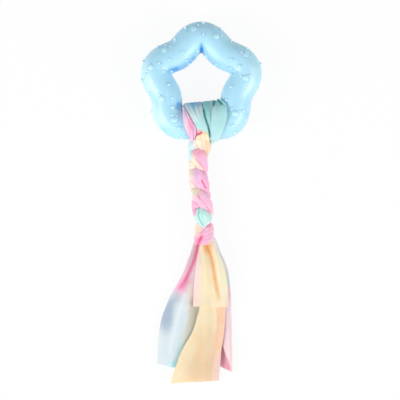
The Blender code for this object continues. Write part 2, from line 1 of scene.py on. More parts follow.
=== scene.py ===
"""Looks of the rope ring dog toy: satin rubber ring, tie-dyed cloth plait and free ends.

The toy lies flat, the ring towards +Y and the free ends towards -Y, and is seen from
straight above. Metres throughout. Pixel places are places in the 400 x 400 photograph.
"""
import logging
import math
from dataclasses import dataclass
from enum import Enum

import bpy
import numpy as np
from mathutils import Matrix, Vector


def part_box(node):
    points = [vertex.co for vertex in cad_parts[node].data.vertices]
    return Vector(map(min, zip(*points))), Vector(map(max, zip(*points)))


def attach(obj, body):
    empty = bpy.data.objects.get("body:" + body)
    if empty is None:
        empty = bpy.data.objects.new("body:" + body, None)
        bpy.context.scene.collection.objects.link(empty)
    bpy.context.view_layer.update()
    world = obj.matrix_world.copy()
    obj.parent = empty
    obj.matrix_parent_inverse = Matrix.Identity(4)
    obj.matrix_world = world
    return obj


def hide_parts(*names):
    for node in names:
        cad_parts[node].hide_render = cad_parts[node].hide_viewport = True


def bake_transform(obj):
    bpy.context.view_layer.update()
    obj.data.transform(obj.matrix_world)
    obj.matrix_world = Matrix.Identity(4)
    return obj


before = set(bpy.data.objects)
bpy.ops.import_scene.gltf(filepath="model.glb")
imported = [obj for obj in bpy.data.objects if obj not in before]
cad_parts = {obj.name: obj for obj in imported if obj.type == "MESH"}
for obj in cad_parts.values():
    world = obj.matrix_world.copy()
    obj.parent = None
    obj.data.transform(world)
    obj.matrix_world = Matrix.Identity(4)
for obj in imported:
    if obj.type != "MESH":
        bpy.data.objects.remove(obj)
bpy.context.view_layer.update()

LOG = logging.getLogger("rope_ring_toy")
Pixel = tuple[float, float]
Pair = tuple[float, float]
Points = np.ndarray

FULL_TURN = 2.0 * math.pi

# Points of a seam that are this close become one
SEAM_REACH = 0.000002

# Least gap between the cloth and the table
TABLE_GAP = 0.0002

# Least length that is divided by
LEAST_LENGTH = 0.0001

# More pixels than lie between any two places
FAR_AWAY = 1e9

# Upward share of a normal at which folds begin to show, and the span to their full height
UPPER_SIDE_FROM = 0.05
UPPER_SIDE_SPAN = 0.4


class Tone(Enum):
    """Colours of the rubber and of the tie-dyed cloth, as 8-bit sRGB; some are painted shade or painted
    highlights.
    """

    RUBBER = (185, 231, 255)
    # Painted shade: deeper blue where the rubber's folds and rims lie in shade.
    RUBBER_FOLD = (50, 160, 226)
    # Painted highlight: paler blue for the shine on the studs' tips and on the ring's outer faces.
    RUBBER_TIP = (216, 246, 255)
    # Painted shade: darker blue round each stud's foot.
    RUBBER_FOOT = (132, 196, 228)
    PINK = (250, 190, 216)
    ROSE = (249, 164, 196)
    # Painted shade: the deep pinks of shaded creases in the pink cloth.
    HOT_PINK = (236, 84, 142)
    CERISE = (246, 116, 162)
    BLUSH = (253, 216, 220)
    LILAC = (240, 204, 234)
    MINT = (188, 230, 226)
    PALE_MINT = (212, 238, 234)
    SEA = (146, 212, 210)
    # Painted shade: dark teal of shaded grooves and pleats.
    TEAL = (48, 140, 134)
    # Painted shade: deep red of the shaded gap where a loop meets the plait.
    CRIMSON = (214, 62, 112)
    CYAN = (182, 236, 240)
    FOAM = (202, 248, 236)
    BREEZE = (184, 226, 226)
    # Painted shade: blue of the shaded pleat at the mint loop's hem.
    STEEL = (146, 206, 236)
    BLUE_GREY = (170, 186, 202)
    MIST = (220, 230, 232)
    CORAL = (255, 180, 198)
    PEACH = (253, 226, 189)
    PALE_PEACH = (254, 236, 216)
    SHELL = (248, 220, 214)
    KHAKI = (202, 198, 178)
    CREAM = (253, 236, 204)
    BUTTER = (252, 236, 196)
    APRICOT = (243, 208, 170)
    # Painted shade: deep orange of shaded creases in the peach cloth.
    ORANGE = (246, 170, 110)
    SAND = (231, 200, 164)
    CLAY = (236, 204, 198)
    SALMON = (250, 200, 172)
    # Painted shade: brown of a shaded groove and of a shadow beside the long end.
    TAN = (214, 192, 160)
    LEAF = (234, 246, 216)
    FROST = (244, 250, 252)

    @property
    def linear(self) -> Points:
        """The colour as scene-linear red, green and blue."""
        share = np.array(self.value) / 255.0
        return np.where(share <= 0.04045, share / 12.92, ((share + 0.055) / 1.055) ** 2.4)


def smooth_step(share: Points) -> Points:
    """Ease from 0 to 1 as the share goes from 0 to 1."""
    held = np.clip(share, 0.0, 1.0)
    return held * held * (3.0 - 2.0 * held)


@dataclass(frozen=True)
class PhotoPlan:
    """How the photograph's pixels lie on the toy's plan.

    Attributes:
        metres_per_pixel: Size of one pixel at the toy.
        ring_pixel: Pixel of the ring's centre.
        ring_y: Place of the ring's centre along Y.
        picture_pixels: Width and height of the photograph.
    """

    metres_per_pixel: float = 0.000909
    ring_pixel: Pixel = (201.8, 83.0)
    ring_y: float = 0.1075
    picture_pixels: float = 400.0

    def pixels(self, points: Points) -> Points:
        """Return the pixels of plan points, row for row."""
        x = points[:, 0] / self.metres_per_pixel + self.ring_pixel[0]
        y = (self.ring_y - points[:, 1]) / self.metres_per_pixel + self.ring_pixel[1]
        return np.stack([x, y], axis=1)

    def plan(self, pixel: Pixel) -> Pair:
        """Return the plan place of a pixel."""
        return ((pixel[0] - self.ring_pixel[0]) * self.metres_per_pixel,
                self.ring_y + (self.ring_pixel[1] - pixel[1]) * self.metres_per_pixel)

    @property
    def middle(self) -> Pair:
        """Plan place of the middle of the photograph."""
        half = self.picture_pixels / 2.0
        return self.plan((half, half))


PHOTO = PhotoPlan()


@dataclass(frozen=True)
class Spot:
    """A soft patch of dye.

    Attributes:
        at: Pixel of its middle.
        reach: How many pixels it spreads across and down.
        tone: Its colour.
        strength: How strongly it colours the piece.
    """

    at: Pixel
    reach: Pair
    tone: Tone
    strength: float = 1.0

    def weight(self, pixels: Points) -> Points:
        """Return how strongly the patch colours each pixel."""
        off = (pixels - np.array(self.at)) / np.array(self.reach)
        return self.strength * np.exp(-(off ** 2).sum(axis=1))


@dataclass(frozen=True)
class Patch:
    """A patch of dye with a clear outline.

    Attributes:
        corners: Pixels of its outline, in order.
        tone: Its colour.
        edge: Width in pixels over which it runs into the next colour.
    """

    corners: tuple[Pixel, ...]
    tone: Tone
    edge: float = 1.0

    def weight(self, pixels: Points) -> Points:
        """Return how fully the patch covers each pixel, from 0 to 1."""
        away = np.full(len(pixels), FAR_AWAY)
        inside = np.zeros(len(pixels), bool)
        x, y = pixels.T
        for start, end in zip(self.corners, self.corners[1:] + self.corners[:1]):
            run = np.array(end) - np.array(start)
            share = np.clip((pixels - start) @ run / (run @ run), 0.0, 1.0)
            away = np.minimum(away, np.hypot(*(pixels - start - share[:, None] * run).T))
            if run[1]:
                crossed = (start[1] > y) != (end[1] > y)
                inside ^= crossed & (x < start[0] + (y - start[1]) * run[0] / run[1])
        return smooth_step(0.5 + np.where(inside, away, -away) / self.edge)


@dataclass(frozen=True)
class Line:
    """A fold, groove or streak along a row of pixels.

    Attributes:
        path: Pixels that the line runs through.
        width: Half-width of the line in pixels.
        tone: Colour that the line takes on, if it has one.
        strength: How fully it takes on that colour.
        rise: Height of the line in metres, below zero for a groove.
        fade: Share of the line's length over which its far end dies away.
    """

    path: tuple[Pixel, ...]
    width: float
    # tone: Colour that the line takes on, if it has one: a streak of dye, or painted shade along a crease or
    # groove, or a painted highlight.
    tone: Tone | None = None
    strength: float = 1.0
    rise: float = 0.0
    fade: float = 0.4

    def weight(self, pixels: Points) -> Points:
        """Return how near each pixel is to the line, from 0 to 1."""
        path = np.array(self.path)
        lengths = np.hypot(*np.diff(path, axis=0).T)
        best = np.full(len(pixels), FAR_AWAY)
        along = np.zeros(len(pixels))
        done = 0.0
        for start, end, length in zip(path, path[1:], lengths):
            share = np.clip((pixels - start) @ (end - start) / length ** 2, 0.0, 1.0)
            away = np.hypot(*(pixels - start - share[:, None] * (end - start)).T)
            along = np.where(away < best, (done + share * length) / lengths.sum(), along)
            best = np.minimum(best, away)
            done += length
        fading = smooth_step((1.0 - along) / self.fade) if self.fade else 1.0
        return fading * np.exp(-(best / self.width) ** 2)


@dataclass(frozen=True)
class DyeAndPaintedLight:
    """How a piece is coloured, with painted shade and painted highlights among its colours, and how its folds
    lift it.

    Attributes:
        base: Colour between the patches.
        spots: Soft patches of dye.
        lines: Folds and streaks, which also give the piece its relief.
        patches: Patches with a clear outline.
        base_share: How strongly the base colour holds against the spots.
        spot_gain: How much more a spot weighs than its strength says.
    """

    base: Tone
    spots: tuple[Spot, ...] = ()
    lines: tuple[Line, ...] = ()
    patches: tuple[Patch, ...] = ()
    base_share: float = 0.35
    spot_gain: float = 2.0

    def colours(self, pixels: Points) -> Points:
        """Return the linear colour at each pixel."""
        total = np.ones(len(pixels)) * self.base_share
        colour = self.base.linear[None, :] * total[:, None]
        for spot in self.spots:
            weight = spot.weight(pixels) * self.spot_gain
            colour = colour + weight[:, None] * spot.tone.linear
            total = total + weight
        colour = colour / total[:, None]
        for patch in self.patches:
            share = patch.weight(pixels)[:, None]
            colour = colour * (1.0 - share) + patch.tone.linear * share
        for line in self.lines:
            if line.tone:
                share = (line.weight(pixels) * line.strength)[:, None]
                colour = colour * (1.0 - share) + line.tone.linear * share
        return colour

    def relief(self, pixels: Points) -> Points:
        """Return how far the folds lift the cloth at each pixel."""
        rise = np.zeros(len(pixels))
        for line in self.lines:
            if line.rise:
                rise = rise + line.rise * line.weight(pixels)
        return rise


def deselect_all() -> None:
    """Leave nothing selected, so that an operator acts only on what is made next."""
    if bpy.context.object and bpy.context.object.mode != "OBJECT":
        bpy.ops.object.mode_set(mode="OBJECT")
    bpy.ops.object.select_all(action="DESELECT")


def select_only(piece: bpy.types.Object) -> None:
    """Make one object the selected and the active one."""
    deselect_all()
    piece.select_set(True)
    bpy.context.view_layer.objects.active = piece


def apply_modifiers(piece: bpy.types.Object) -> None:
    """Apply an object's modifiers in their order."""
    select_only(piece)
    for modifier in list(piece.modifiers):
        bpy.ops.object.modifier_apply(modifier=modifier.name)


def places(piece: bpy.types.Object) -> Points:
    """Return the places of a mesh's vertices, row for row."""
    co = np.zeros(len(piece.data.vertices) * 3)
    piece.data.vertices.foreach_get("co", co)
    return co.reshape(-1, 3)


def set_places(piece: bpy.types.Object, co: Points) -> None:
    """Move a mesh's vertices to new places."""
    piece.data.vertices.foreach_set("co", co.astype(np.float32).ravel())
    piece.data.update()


def normals(piece: bpy.types.Object) -> Points:
    """Return the normals of a mesh's vertices, row for row."""
    out = np.zeros(len(piece.data.vertices) * 3)
    piece.data.vertices.foreach_get("normal", out)
    return out.reshape(-1, 3)


def set_colour_attribute(piece: bpy.types.Object, name: str, colours: Points) -> None:
    """Store a colour for each vertex under a name that a material reads."""
    layer = piece.data.color_attributes.new(name, "FLOAT_COLOR", "POINT")
    rgba = np.ones((len(colours), 4), np.float32)
    rgba[:, :3] = colours
    layer.data.foreach_set("color", rgba.ravel())


def grid_piece(name: str, across: int, along: int) -> tuple[bpy.types.Object, Points, Points]:
    """Add a flat unit grid with its own UV map, ready to be shaped.

    Args:
        name: Name of the new piece.
        across: Number of faces across.
        along: Number of faces along.

    Returns:
        The piece, and each vertex's share across and along.
    """
    deselect_all()
    bpy.ops.mesh.primitive_grid_add(x_subdivisions=across, y_subdivisions=along, size=1.0,
                                    calc_uvs=True, location=(0.0, 0.0, 0.0))
    piece = bpy.context.object
    piece.name = name
    piece.data.name = name
    co = places(piece)
    return piece, co[:, 0] + 0.5, co[:, 1] + 0.5


def face_outwards(piece: bpy.types.Object) -> None:
    """Turn the faces of a closed mesh outwards."""
    select_only(piece)
    bpy.ops.object.mode_set(mode="EDIT")
    bpy.ops.mesh.select_all(action="SELECT")
    bpy.ops.mesh.normals_make_consistent(inside=False)
    bpy.ops.object.mode_set(mode="OBJECT")


def close_roll(piece: bpy.types.Object) -> None:
    """Close the seam and both ends of a grid that was wrapped into a roll."""
    select_only(piece)
    bpy.ops.object.mode_set(mode="EDIT")
    bpy.ops.mesh.select_all(action="SELECT")
    bpy.ops.mesh.remove_doubles(threshold=SEAM_REACH)
    bpy.ops.mesh.select_mode(type="EDGE")
    bpy.ops.mesh.select_all(action="DESELECT")
    bpy.ops.mesh.select_non_manifold()
    bpy.ops.mesh.fill_holes(sides=0)
    bpy.ops.mesh.select_mode(type="VERT")
    face_outwards(piece)
    bpy.ops.object.shade_smooth()


def scale_uv(piece: bpy.types.Object, width: float, length: float) -> None:
    """Stretch a unit UV map to the cloth's own size in metres."""
    layer = piece.data.uv_layers.active.data
    uv = np.zeros(len(layer) * 2)
    layer.foreach_get("uv", uv)
    uv = uv.reshape(-1, 2) * np.array([width, length])
    layer.foreach_set("uv", uv.ravel())


def dress(piece: bpy.types.Object, dye: DyeAndPaintedLight) -> None:
    """Press a dye's folds into the upper side of a piece and paint its colours on, painted crease shade among
    them.
    """
    co = places(piece)
    pixels = PHOTO.pixels(co)
    up = smooth_step((normals(piece)[:, 2] - UPPER_SIDE_FROM) / UPPER_SIDE_SPAN)
    co[:, 2] += dye.relief(pixels) * up
    set_places(piece, co)
    set_colour_attribute(piece, "dye", dye.colours(pixels))


def finish_roll(piece: bpy.types.Object, co: Points, cloth: Pair, dye: DyeAndPaintedLight) -> None:
    """Wrap a grid into a roll of cloth and dress it.

    Args:
        piece: The grid.
        co: Places of its vertices in the roll.
        cloth: Width and length of the cloth in the roll, for its knit.
        dye: How it is dyed and folded, with painted shade in its creases.
    """
    set_places(piece, co)
    close_roll(piece)
    scale_uv(piece, *cloth)
    dress(piece, dye)
    piece.data.materials.append(ClothFinish().material(piece.name + "_knit"))


class Graph:
    """Shader graph of a material or a world, built up node by node."""

    def __init__(self, owner: bpy.types.Material | bpy.types.World) -> None:
        owner.use_nodes = True
        self.nodes = owner.node_tree.nodes
        self.link = owner.node_tree.links.new

    def fill(self, node: bpy.types.Node, values: dict[str, object]) -> bpy.types.Node:
        """Set a node's inputs by their names and return the node."""
        for name, value in values.items():
            node.inputs[name].default_value = value
        return node

    def add(self, kind: str, values: dict[str, object] | None = None,
            **settings: object) -> bpy.types.Node:
        """Add a node.

        Args:
            kind: Type of the node, without the prefix that all types share.
            values: Values of its inputs, by their names.
            settings: Values of its own properties.

        Returns:
            The new node.
        """
        node = self.nodes.new("ShaderNode" + kind)
        for name, value in settings.items():
            setattr(node, name, value)
        return self.fill(node, values or {})

    def tint(self, shader: bpy.types.Node, texture: bpy.types.Node,
             swing: dict[str, object]) -> None:
        """Colour a shader with the piece's dye and painted shade, stronger and weaker by a texture.

        Args:
            shader: The shader.
            texture: The texture.
            swing: Range of the texture and range of the dye's strength.
        """
        strength = self.add("MapRange", swing)
        dye = self.add("Attribute", attribute_name="dye")
        gain = self.add("HueSaturation")
        self.link(texture.outputs["Fac"], strength.inputs["Value"])
        self.link(strength.outputs["Result"], gain.inputs["Saturation"])
        self.link(dye.outputs["Color"], gain.inputs["Color"])
        self.link(gain.outputs["Color"], shader.inputs["Base Color"])

    def roughen(self, shader: bpy.types.Node, height: bpy.types.NodeSocket,
                strength: float, depth: float) -> None:
        """Give a shader the relief of a texture's height.

        Args:
            shader: The shader.
            height: Output that holds the height.
            strength: Strength of the relief.
            depth: Its depth in metres.
        """
        bump = self.add("Bump", {"Strength": strength, "Distance": depth})
        self.link(height, bump.inputs["Height"])
        self.link(bump.outputs["Normal"], shader.inputs["Normal"])


@dataclass(frozen=True)
class ClothFinish:
    """Brushed knit cloth that takes its dye, with painted crease shade, from the piece's own colour
    attribute.

    Attributes:
        glow: Share of the light that scatters between the fibres.
        depth: How deep that light reaches.
        stitch: Width of one stitch of the knit.
        roughness: Roughness of the cloth.
        sheen: Strength of the soft nap at grazing angles.
        bump: Depth of the knit.
        bump_strength: Strength of the knit's relief.
        mottle: How far the dye's strength wanders.
        row_share: Waves along the cloth for each wave across it.
    """

    glow: float = 0.45
    depth: float = 0.0022
    stitch: float = 0.0011
    roughness: float = 0.86
    sheen: float = 0.18
    bump: float = 0.00012
    bump_strength: float = 0.6
    mottle: float = 0.10
    row_share: float = 0.7

    def material(self, name: str) -> bpy.types.Material:
        """Return the material for one piece of cloth."""
        material = bpy.data.materials.new(name)
        graph = Graph(material)
        shader = graph.fill(graph.nodes["Principled BSDF"], {
            "Roughness": self.roughness,
            "Sheen Weight": self.sheen,
            "Sheen Roughness": 0.5,
            "Specular IOR Level": 0.25,
            "Subsurface Weight": self.glow,
            "Subsurface Radius": (1.0, 0.7, 0.6),
            "Subsurface Scale": self.depth,
        })
        uv = graph.add("UVMap").outputs["UV"]
        blotch = graph.add("TexNoise", {"Scale": 160.0, "Detail": 5.0})
        graph.link(uv, blotch.inputs["Vector"])
        graph.tint(shader, blotch, {"From Min": 0.3, "From Max": 0.7,
                                    "To Min": 1.0 - self.mottle, "To Max": 1.0 + self.mottle})
        knit = graph.add("Math", operation="MULTIPLY")
        for side, (axis, share) in enumerate((("X", 1.0), ("Y", self.row_share))):
            wave = graph.add("TexWave", {
                "Scale": share / self.stitch / math.pi,
                "Distortion": 1.2,
                "Detail": 2.0,
                "Detail Scale": 2.0,
            }, wave_type="BANDS", bands_direction=axis)
            graph.link(uv, wave.inputs["Vector"])
            graph.link(wave.outputs["Fac"], knit.inputs[side])
        graph.roughen(shader, knit.outputs[0], self.bump_strength, self.bump)
        return material


@dataclass(frozen=True)
class RubberFinish:
    """Satin moulded rubber, slightly milky, that takes its blue, with painted shade and painted highlights,
    from the ring's own colour attribute.

    Attributes:
        roughness: Roughness of the satin skin.
        glow: Share of the light that scatters inside.
        depth: How deep that light reaches.
        ior: Refractive index, which sets how strongly the skin shines.
        mottle: How far the blue's strength wanders.
        bump: Depth of the fine grain.
        bump_strength: Strength of the grain's relief.
    """

    roughness: float = 0.45
    glow: float = 0.80
    depth: float = 0.0075
    ior: float = 1.95
    mottle: float = 0.07
    bump: float = 0.00004
    bump_strength: float = 0.25

    def material(self, name: str) -> bpy.types.Material:
        """Return the rubber's material."""
        material = bpy.data.materials.new(name)
        graph = Graph(material)
        shader = graph.fill(graph.nodes["Principled BSDF"], {
            "Roughness": self.roughness,
            "Subsurface Weight": self.glow,
            "Subsurface Radius": (0.5, 0.8, 1.0),
            "Subsurface Scale": self.depth,
            "IOR": self.ior,
        })
        place = graph.add("TexCoord").outputs["Object"]
        cloud = graph.add("TexNoise", {"Scale": 45.0, "Detail": 3.0})
        grain = graph.add("TexNoise", {"Scale": 2600.0, "Detail": 3.0})
        graph.link(place, cloud.inputs["Vector"])
        graph.link(place, grain.inputs["Vector"])
        graph.tint(shader, cloud, {"To Min": 1.0 - self.mottle, "To Max": 1.0 + self.mottle})
        graph.roughen(shader, grain.outputs["Fac"], self.bump_strength, self.bump)
        return material


class Stud(Enum):
    """Raised shapes on the ring: radius and height from root to tip, in metres."""

    NUB = ((0.00150, -0.0010), (0.00150, 0.0), (0.00118, 0.00022), (0.00104, 0.0007),
           (0.00100, 0.0013), (0.00084, 0.0017), (0.00048, 0.00195))
    PAD = ((0.00300, -0.0012), (0.00298, 0.0), (0.00274, 0.00020), (0.00242, 0.00044),
           (0.00200, 0.00066), (0.00145, 0.00084), (0.00075, 0.00094))
    TOE = ((0.00125, -0.0010), (0.00122, 0.0), (0.00104, 0.00030), (0.00085, 0.00060),
           (0.00050, 0.00078))

    @property
    def height(self) -> float:
        """How far the stud stands out of the rubber."""
        return self.value[-1][1]

    @property
    def sides(self) -> int:
        """Number of sides of the stud's round."""
        return 24 if self is Stud.PAD else 14


@dataclass
class ChewRing:
    """Moulded rubber ring of five lobes with nubs and pads.

    Attributes:
        mean_radius: Radius of the tube's centre line between lobe and valley.
        lobe_swing: How far the centre line swings out at a lobe and in at a valley.
        tube_radius: Radius of the tube.
        lobes: Number of lobes.
        crease_depth: Depth of the fold at a lobe's inner side.
        crease_width: How fast the fold dies away beside it.
        crease_length: How far the fold runs out along the lobe.
        lobe_steps: Sections of the tube in one lobe.
        section_steps: Points round each section.
        crowding: How strongly the sections crowd at the fold.
        crease_shares: How deep each lobe's fold is, from the top lobe leftwards.
        sag: How far the soft ring sits off its CAD place, across and along.
        pad_highlight_share: How strongly a painted highlight pales a pad towards its tip.
        nub_highlight_share: How strongly a painted highlight pales a nub or toe towards its tip.
        foot_shade_share: How strongly painted shade darkens the rubber round a stud's foot.
        finish: Finish of the rubber.
        dye: Colour of the rubber, with painted shade in its folds and along its inner and top rims, and
            painted highlights on its outer faces.
        nubs: Pixels of the nubs that show from above.
        pads: Pixels of each pad and of its toes on the upper face.
        back_nubs: Nubs of one lobe on the lower face: turn from the lobe's middle and
            turn round the tube from its outer side, in degrees.
        back_pads: Pads of one lobe on the lower face, in the same turns.
        crease_floor: Least height that a fold leaves, as a share of the tube's own.
        face_reach: How far out on the tube's face a stud may stand, as a share.
        foot_shade_width: Width of the painted shade round a stud's foot.
        foot_shade_height: How far that painted shade climbs the stud.
        table_gap: Least gap between the ring and the table.
        smooth_angle: Angle in degrees up to which the shading is smooth.
        ahead_turn: Turn in radians over which the centre line's direction is taken.
        line_steps: Points of the centre line.
        search_steps: Halvings in which the tube's edge is found.
    """

    mean_radius: float = 0.0380
    lobe_swing: float = 0.0041
    tube_radius: float = 0.0140
    lobes: int = 5
    crease_depth: float = 0.0028
    crease_width: float = 0.0015
    crease_length: float = 0.0085
    lobe_steps: int = 52
    section_steps: int = 80
    crowding: float = 0.82
    crease_shares: tuple[float, ...] = (1.0, 0.8, 0.0, 0.0, 0.5)
    sag: Pair = (-0.0005, -0.0010)
    # Painted highlights on the studs' tips and painted shade round their feet.
    pad_highlight_share: float = 0.40
    nub_highlight_share: float = 0.9
    foot_shade_share: float = 0.18
    finish: RubberFinish = RubberFinish()
    dye: DyeAndPaintedLight = DyeAndPaintedLight(Tone.RUBBER, lines=(
        # Painted shade: deeper blue in the folds at the lobes' inner sides.
        Line(((202.6, 57.0), (201.8, 52.0), (201.4, 43.0)), 2.0, Tone.RUBBER_FOLD, 1.0, fade=0.5),
        Line(((177.0, 70.4), (172.5, 71.4), (167.5, 70.4)), 1.9, Tone.RUBBER_FOLD, 0.8, fade=0.5),
        Line(((177.6, 108.0), (178.6, 105.0), (180.6, 101.0)), 2.2, Tone.RUBBER_FOLD, 0.85, fade=0.6),
        # Painted light: paler blue that lifts the shade beside the pink loop.
        Line(((181.5, 109.0), (182.0, 114.0), (183.0, 120.0)), 2.2, Tone.RUBBER_TIP, 0.80, fade=0.3),
        # Painted shade: darker band along the upper left inner rim.
        Line(((176.0, 71.0), (184.0, 68.0), (191.5, 62.6), (199.0, 55.5)),
             2.6, Tone.RUBBER_FOLD, 0.50, fade=0.2),
        # Painted highlights: the soft boxes' shine on the outer faces.
        Line(((144.5, 68.0), (147.5, 84.0), (151.5, 97.0)), 4.0, Tone.RUBBER_TIP, 0.55, fade=0.2),
        Line(((152.0, 108.0), (156.0, 118.0), (162.5, 129.0)), 5.5, Tone.RUBBER_TIP, 0.75, fade=0.3),
        Line(((252.5, 70.0), (253.0, 84.0), (248.5, 94.0)), 4.5, Tone.RUBBER_TIP, 0.45, fade=0.2),
        # Painted shade: darker inner rims, and the top rim that faces away from the lamps.
        Line(((205.0, 56.0), (213.0, 63.5), (222.0, 68.0)), 2.2, Tone.RUBBER_FOLD, 0.15),
        Line(((176.0, 77.0), (180.0, 88.0), (181.0, 100.0)), 2.0, Tone.RUBBER_FOLD, 0.15),
        Line(((158.0, 46.0), (172.0, 38.0), (188.0, 24.5), (202.0, 21.0), (216.0, 23.5),
              (230.0, 37.0), (240.0, 43.5), (250.0, 48.0)), 3.6, Tone.RUBBER_FOLD, 0.20, fade=0.2)))
    nubs: tuple[Pixel, ...] = (
        (203.3, 37.0), (198.7, 53.3), (182.8, 54.6), (187.4, 62.8), (170.0, 61.5),
        (159.6, 65.0), (165.0, 73.3), (170.0, 85.8), (173.3, 99.2), (173.3, 108.3),
        (179.6, 129.6), (231.0, 61.5), (238.7, 67.8), (229.6, 70.5), (229.6, 87.8),
        (225.0, 101.0), (243.3, 112.4), (232.8, 127.0), (203.3, 23.3), (185.0, 28.7),
        (221.0, 29.2), (231.5, 41.5), (174.2, 40.5),
        (157.8, 46.5), (247.0, 48.7), (262.0, 63.7), (142.4, 61.5), (144.8, 76.0),
        (141.0, 81.5), (148.7, 95.0), (148.5, 112.4), (162.4, 132.0), (182.0, 138.7),
        (235.5, 134.2), (249.0, 116.5), (189.6, 66.0), (205.5, 57.8), (215.0, 67.0),
        (230.0, 75.0), (172.4, 73.3))
    pads: tuple[tuple[Pixel, ...], ...] = (
        ((193.7, 30.1), (198.4, 26.6)),
        ((216.5, 37.8), (221.4, 37.2)),
        ((165.0, 51.0), (166.6, 46.2), (170.6, 48.0)),
        ((246.0, 55.5), (241.2, 53.6), (250.9, 58.2)),
        ((151.0, 68.7), (147.4, 72.4)),
        ((245.0, 79.6), (239.8, 77.9), (249.7, 77.0)),
        ((162.0, 100.0), (159.4, 96.0)),
        ((174.2, 120.8), (172.6, 116.0), (177.6, 116.6)),
        ((234.6, 114.6), (231.2, 110.0)))
    back_nubs: tuple[Pair, ...] = ((-3.0, 90.0), (19.0, 50.0), (25.0, 118.0), (-13.0, 122.0))
    back_pads: tuple[Pair, ...] = ((9.0, 62.0), (-21.0, 92.0))
    crease_floor: float = 0.45
    face_reach: float = 0.985
    # Size of the painted shade round each stud's foot.
    foot_shade_width: float = 0.0005
    foot_shade_height: float = 0.0006
    table_gap: float = 0.0001
    smooth_angle: float = 60.0
    ahead_turn: float = 0.001
    line_steps: int = 1440
    search_steps: int = 24

    def __post_init__(self) -> None:
        low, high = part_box("chew_ring")
        self.middle = Vector((self.sag[0], PHOTO.ring_y + self.sag[1], (low.z + high.z) / 2.0))
        turns = np.linspace(0.0, FULL_TURN, self.line_steps, endpoint=False)
        self.line = self.centre(turns)

    def centre_radius(self, turn: Points) -> Points:
        """Return the centre line's radius at each turn."""
        wave = np.cos(self.lobes * (turn - math.pi / 2.0))
        return self.mean_radius + self.lobe_swing * wave

    def centre(self, turn: Points) -> Points:
        """Return centre-line points, off the ring's middle."""
        radius = self.centre_radius(turn)
        return np.stack([radius * np.cos(turn), radius * np.sin(turn)], axis=-1)

    def away(self, x: Points, y: Points) -> Points:
        """Return the distance in plan from the centre line."""
        gap = np.hypot(x[..., None] - self.line[:, 0], y[..., None] - self.line[:, 1])
        return gap.min(axis=-1)

    def rim(self, turn: Points, side: float) -> Points:
        """Find the radius of the tube's outer or inner edge.

        Args:
            turn: Turns about the ring's middle.
            side: 1 for the outer edge and -1 for the inner one.

        Returns:
            The edge's radius at each turn.
        """
        start = self.centre_radius(turn)
        near = np.zeros_like(turn)
        far = np.full_like(turn, 2.0 * self.tube_radius)
        for _ in range(self.search_steps):
            half = (near + far) / 2.0
            radius = start + side * half
            within = self.away(radius * np.cos(turn), radius * np.sin(turn)) < self.tube_radius
            near = np.where(within, half, near)
            far = np.where(within, far, half)
        return start + side * near

    def crease(self, lobe: Points, off: Points, radius: Points, inner: Points) -> Points:
        """Find how deep a lobe's fold is.

        Args:
            lobe: Which lobe each place is on.
            off: Turn of each place from its lobe's middle.
            radius: Its radius about the ring's middle.
            inner: Radius of the tube's inner edge there.

        Returns:
            The fold's depth at each place.
        """
        along = smooth_step(1.0 - (radius - inner) / self.crease_length)
        depth = self.crease_depth * np.array(self.crease_shares)[lobe % self.lobes]
        return depth * np.exp(-radius * np.abs(off) / self.crease_width) * along

    def tube(self) -> bpy.types.Object:
        """Shape a torus into the lobed tube and return it."""
        deselect_all()
        steps = self.lobes * self.lobe_steps
        bpy.ops.mesh.primitive_torus_add(major_segments=steps, minor_segments=self.section_steps,
                                         major_radius=self.mean_radius,
                                         minor_radius=self.tube_radius)
        ring = bpy.context.object
        co = places(ring)
        order = np.arange(len(co))
        share = (order // self.section_steps) / self.lobe_steps
        lobe_share = share % 1.0
        crowd = self.crowding * np.sin(FULL_TURN * lobe_share) / FULL_TURN
        width = FULL_TURN / self.lobes
        turn = math.pi / 2.0 + (share - crowd) * width
        phase = FULL_TURN * (order % self.section_steps) / self.section_steps
        first = np.arange(0, len(co), self.section_steps)
        outer = np.repeat(self.rim(turn[first], 1.0), self.section_steps)
        inner = np.repeat(self.rim(turn[first], -1.0), self.section_steps)
        radius = (outer + inner) / 2.0 + (outer - inner) / 2.0 * np.cos(phase)
        x = radius * np.cos(turn)
        y = radius * np.sin(turn)
        rise = np.sqrt(np.maximum(self.tube_radius ** 2 - self.away(x, y) ** 2, 0.0))
        off = (lobe_share - crowd + 0.5) % 1.0 - 0.5
        dip = self.crease(np.round(share).astype(int), off * width, radius, inner)
        rise = np.maximum(rise - dip, rise * self.crease_floor)
        rise = np.where(np.isclose(np.abs(np.cos(phase)), 1.0), 0.0, rise)
        z = np.sign(np.sin(phase)) * rise
        set_places(ring, np.stack([x, y, z], axis=1) + np.array(self.middle))
        face_outwards(ring)
        return ring

    def stud(self, kind: Stud) -> bpy.types.Object:
        """Model one nub, pad or toe, upright on the origin."""
        deselect_all()
        rows = kind.value
        bpy.ops.mesh.primitive_circle_add(vertices=kind.sides, radius=rows[0][0],
                                          fill_type="NGON", location=(0.0, 0.0, rows[0][1]))
        stud = bpy.context.object
        bpy.ops.object.transform_apply(location=True)
        bpy.ops.object.mode_set(mode="EDIT")
        bpy.ops.mesh.select_all(action="SELECT")
        for (radius, height), (next_radius, next_height) in zip(rows, rows[1:]):
            bpy.ops.mesh.extrude_region_move(
                TRANSFORM_OT_translate={"value": (0.0, 0.0, next_height - height)})
            share = next_radius / radius
            bpy.ops.transform.resize(value=(share, share, 1.0),
                                     center_override=(0.0, 0.0, next_height))
        face_outwards(stud)
        return stud

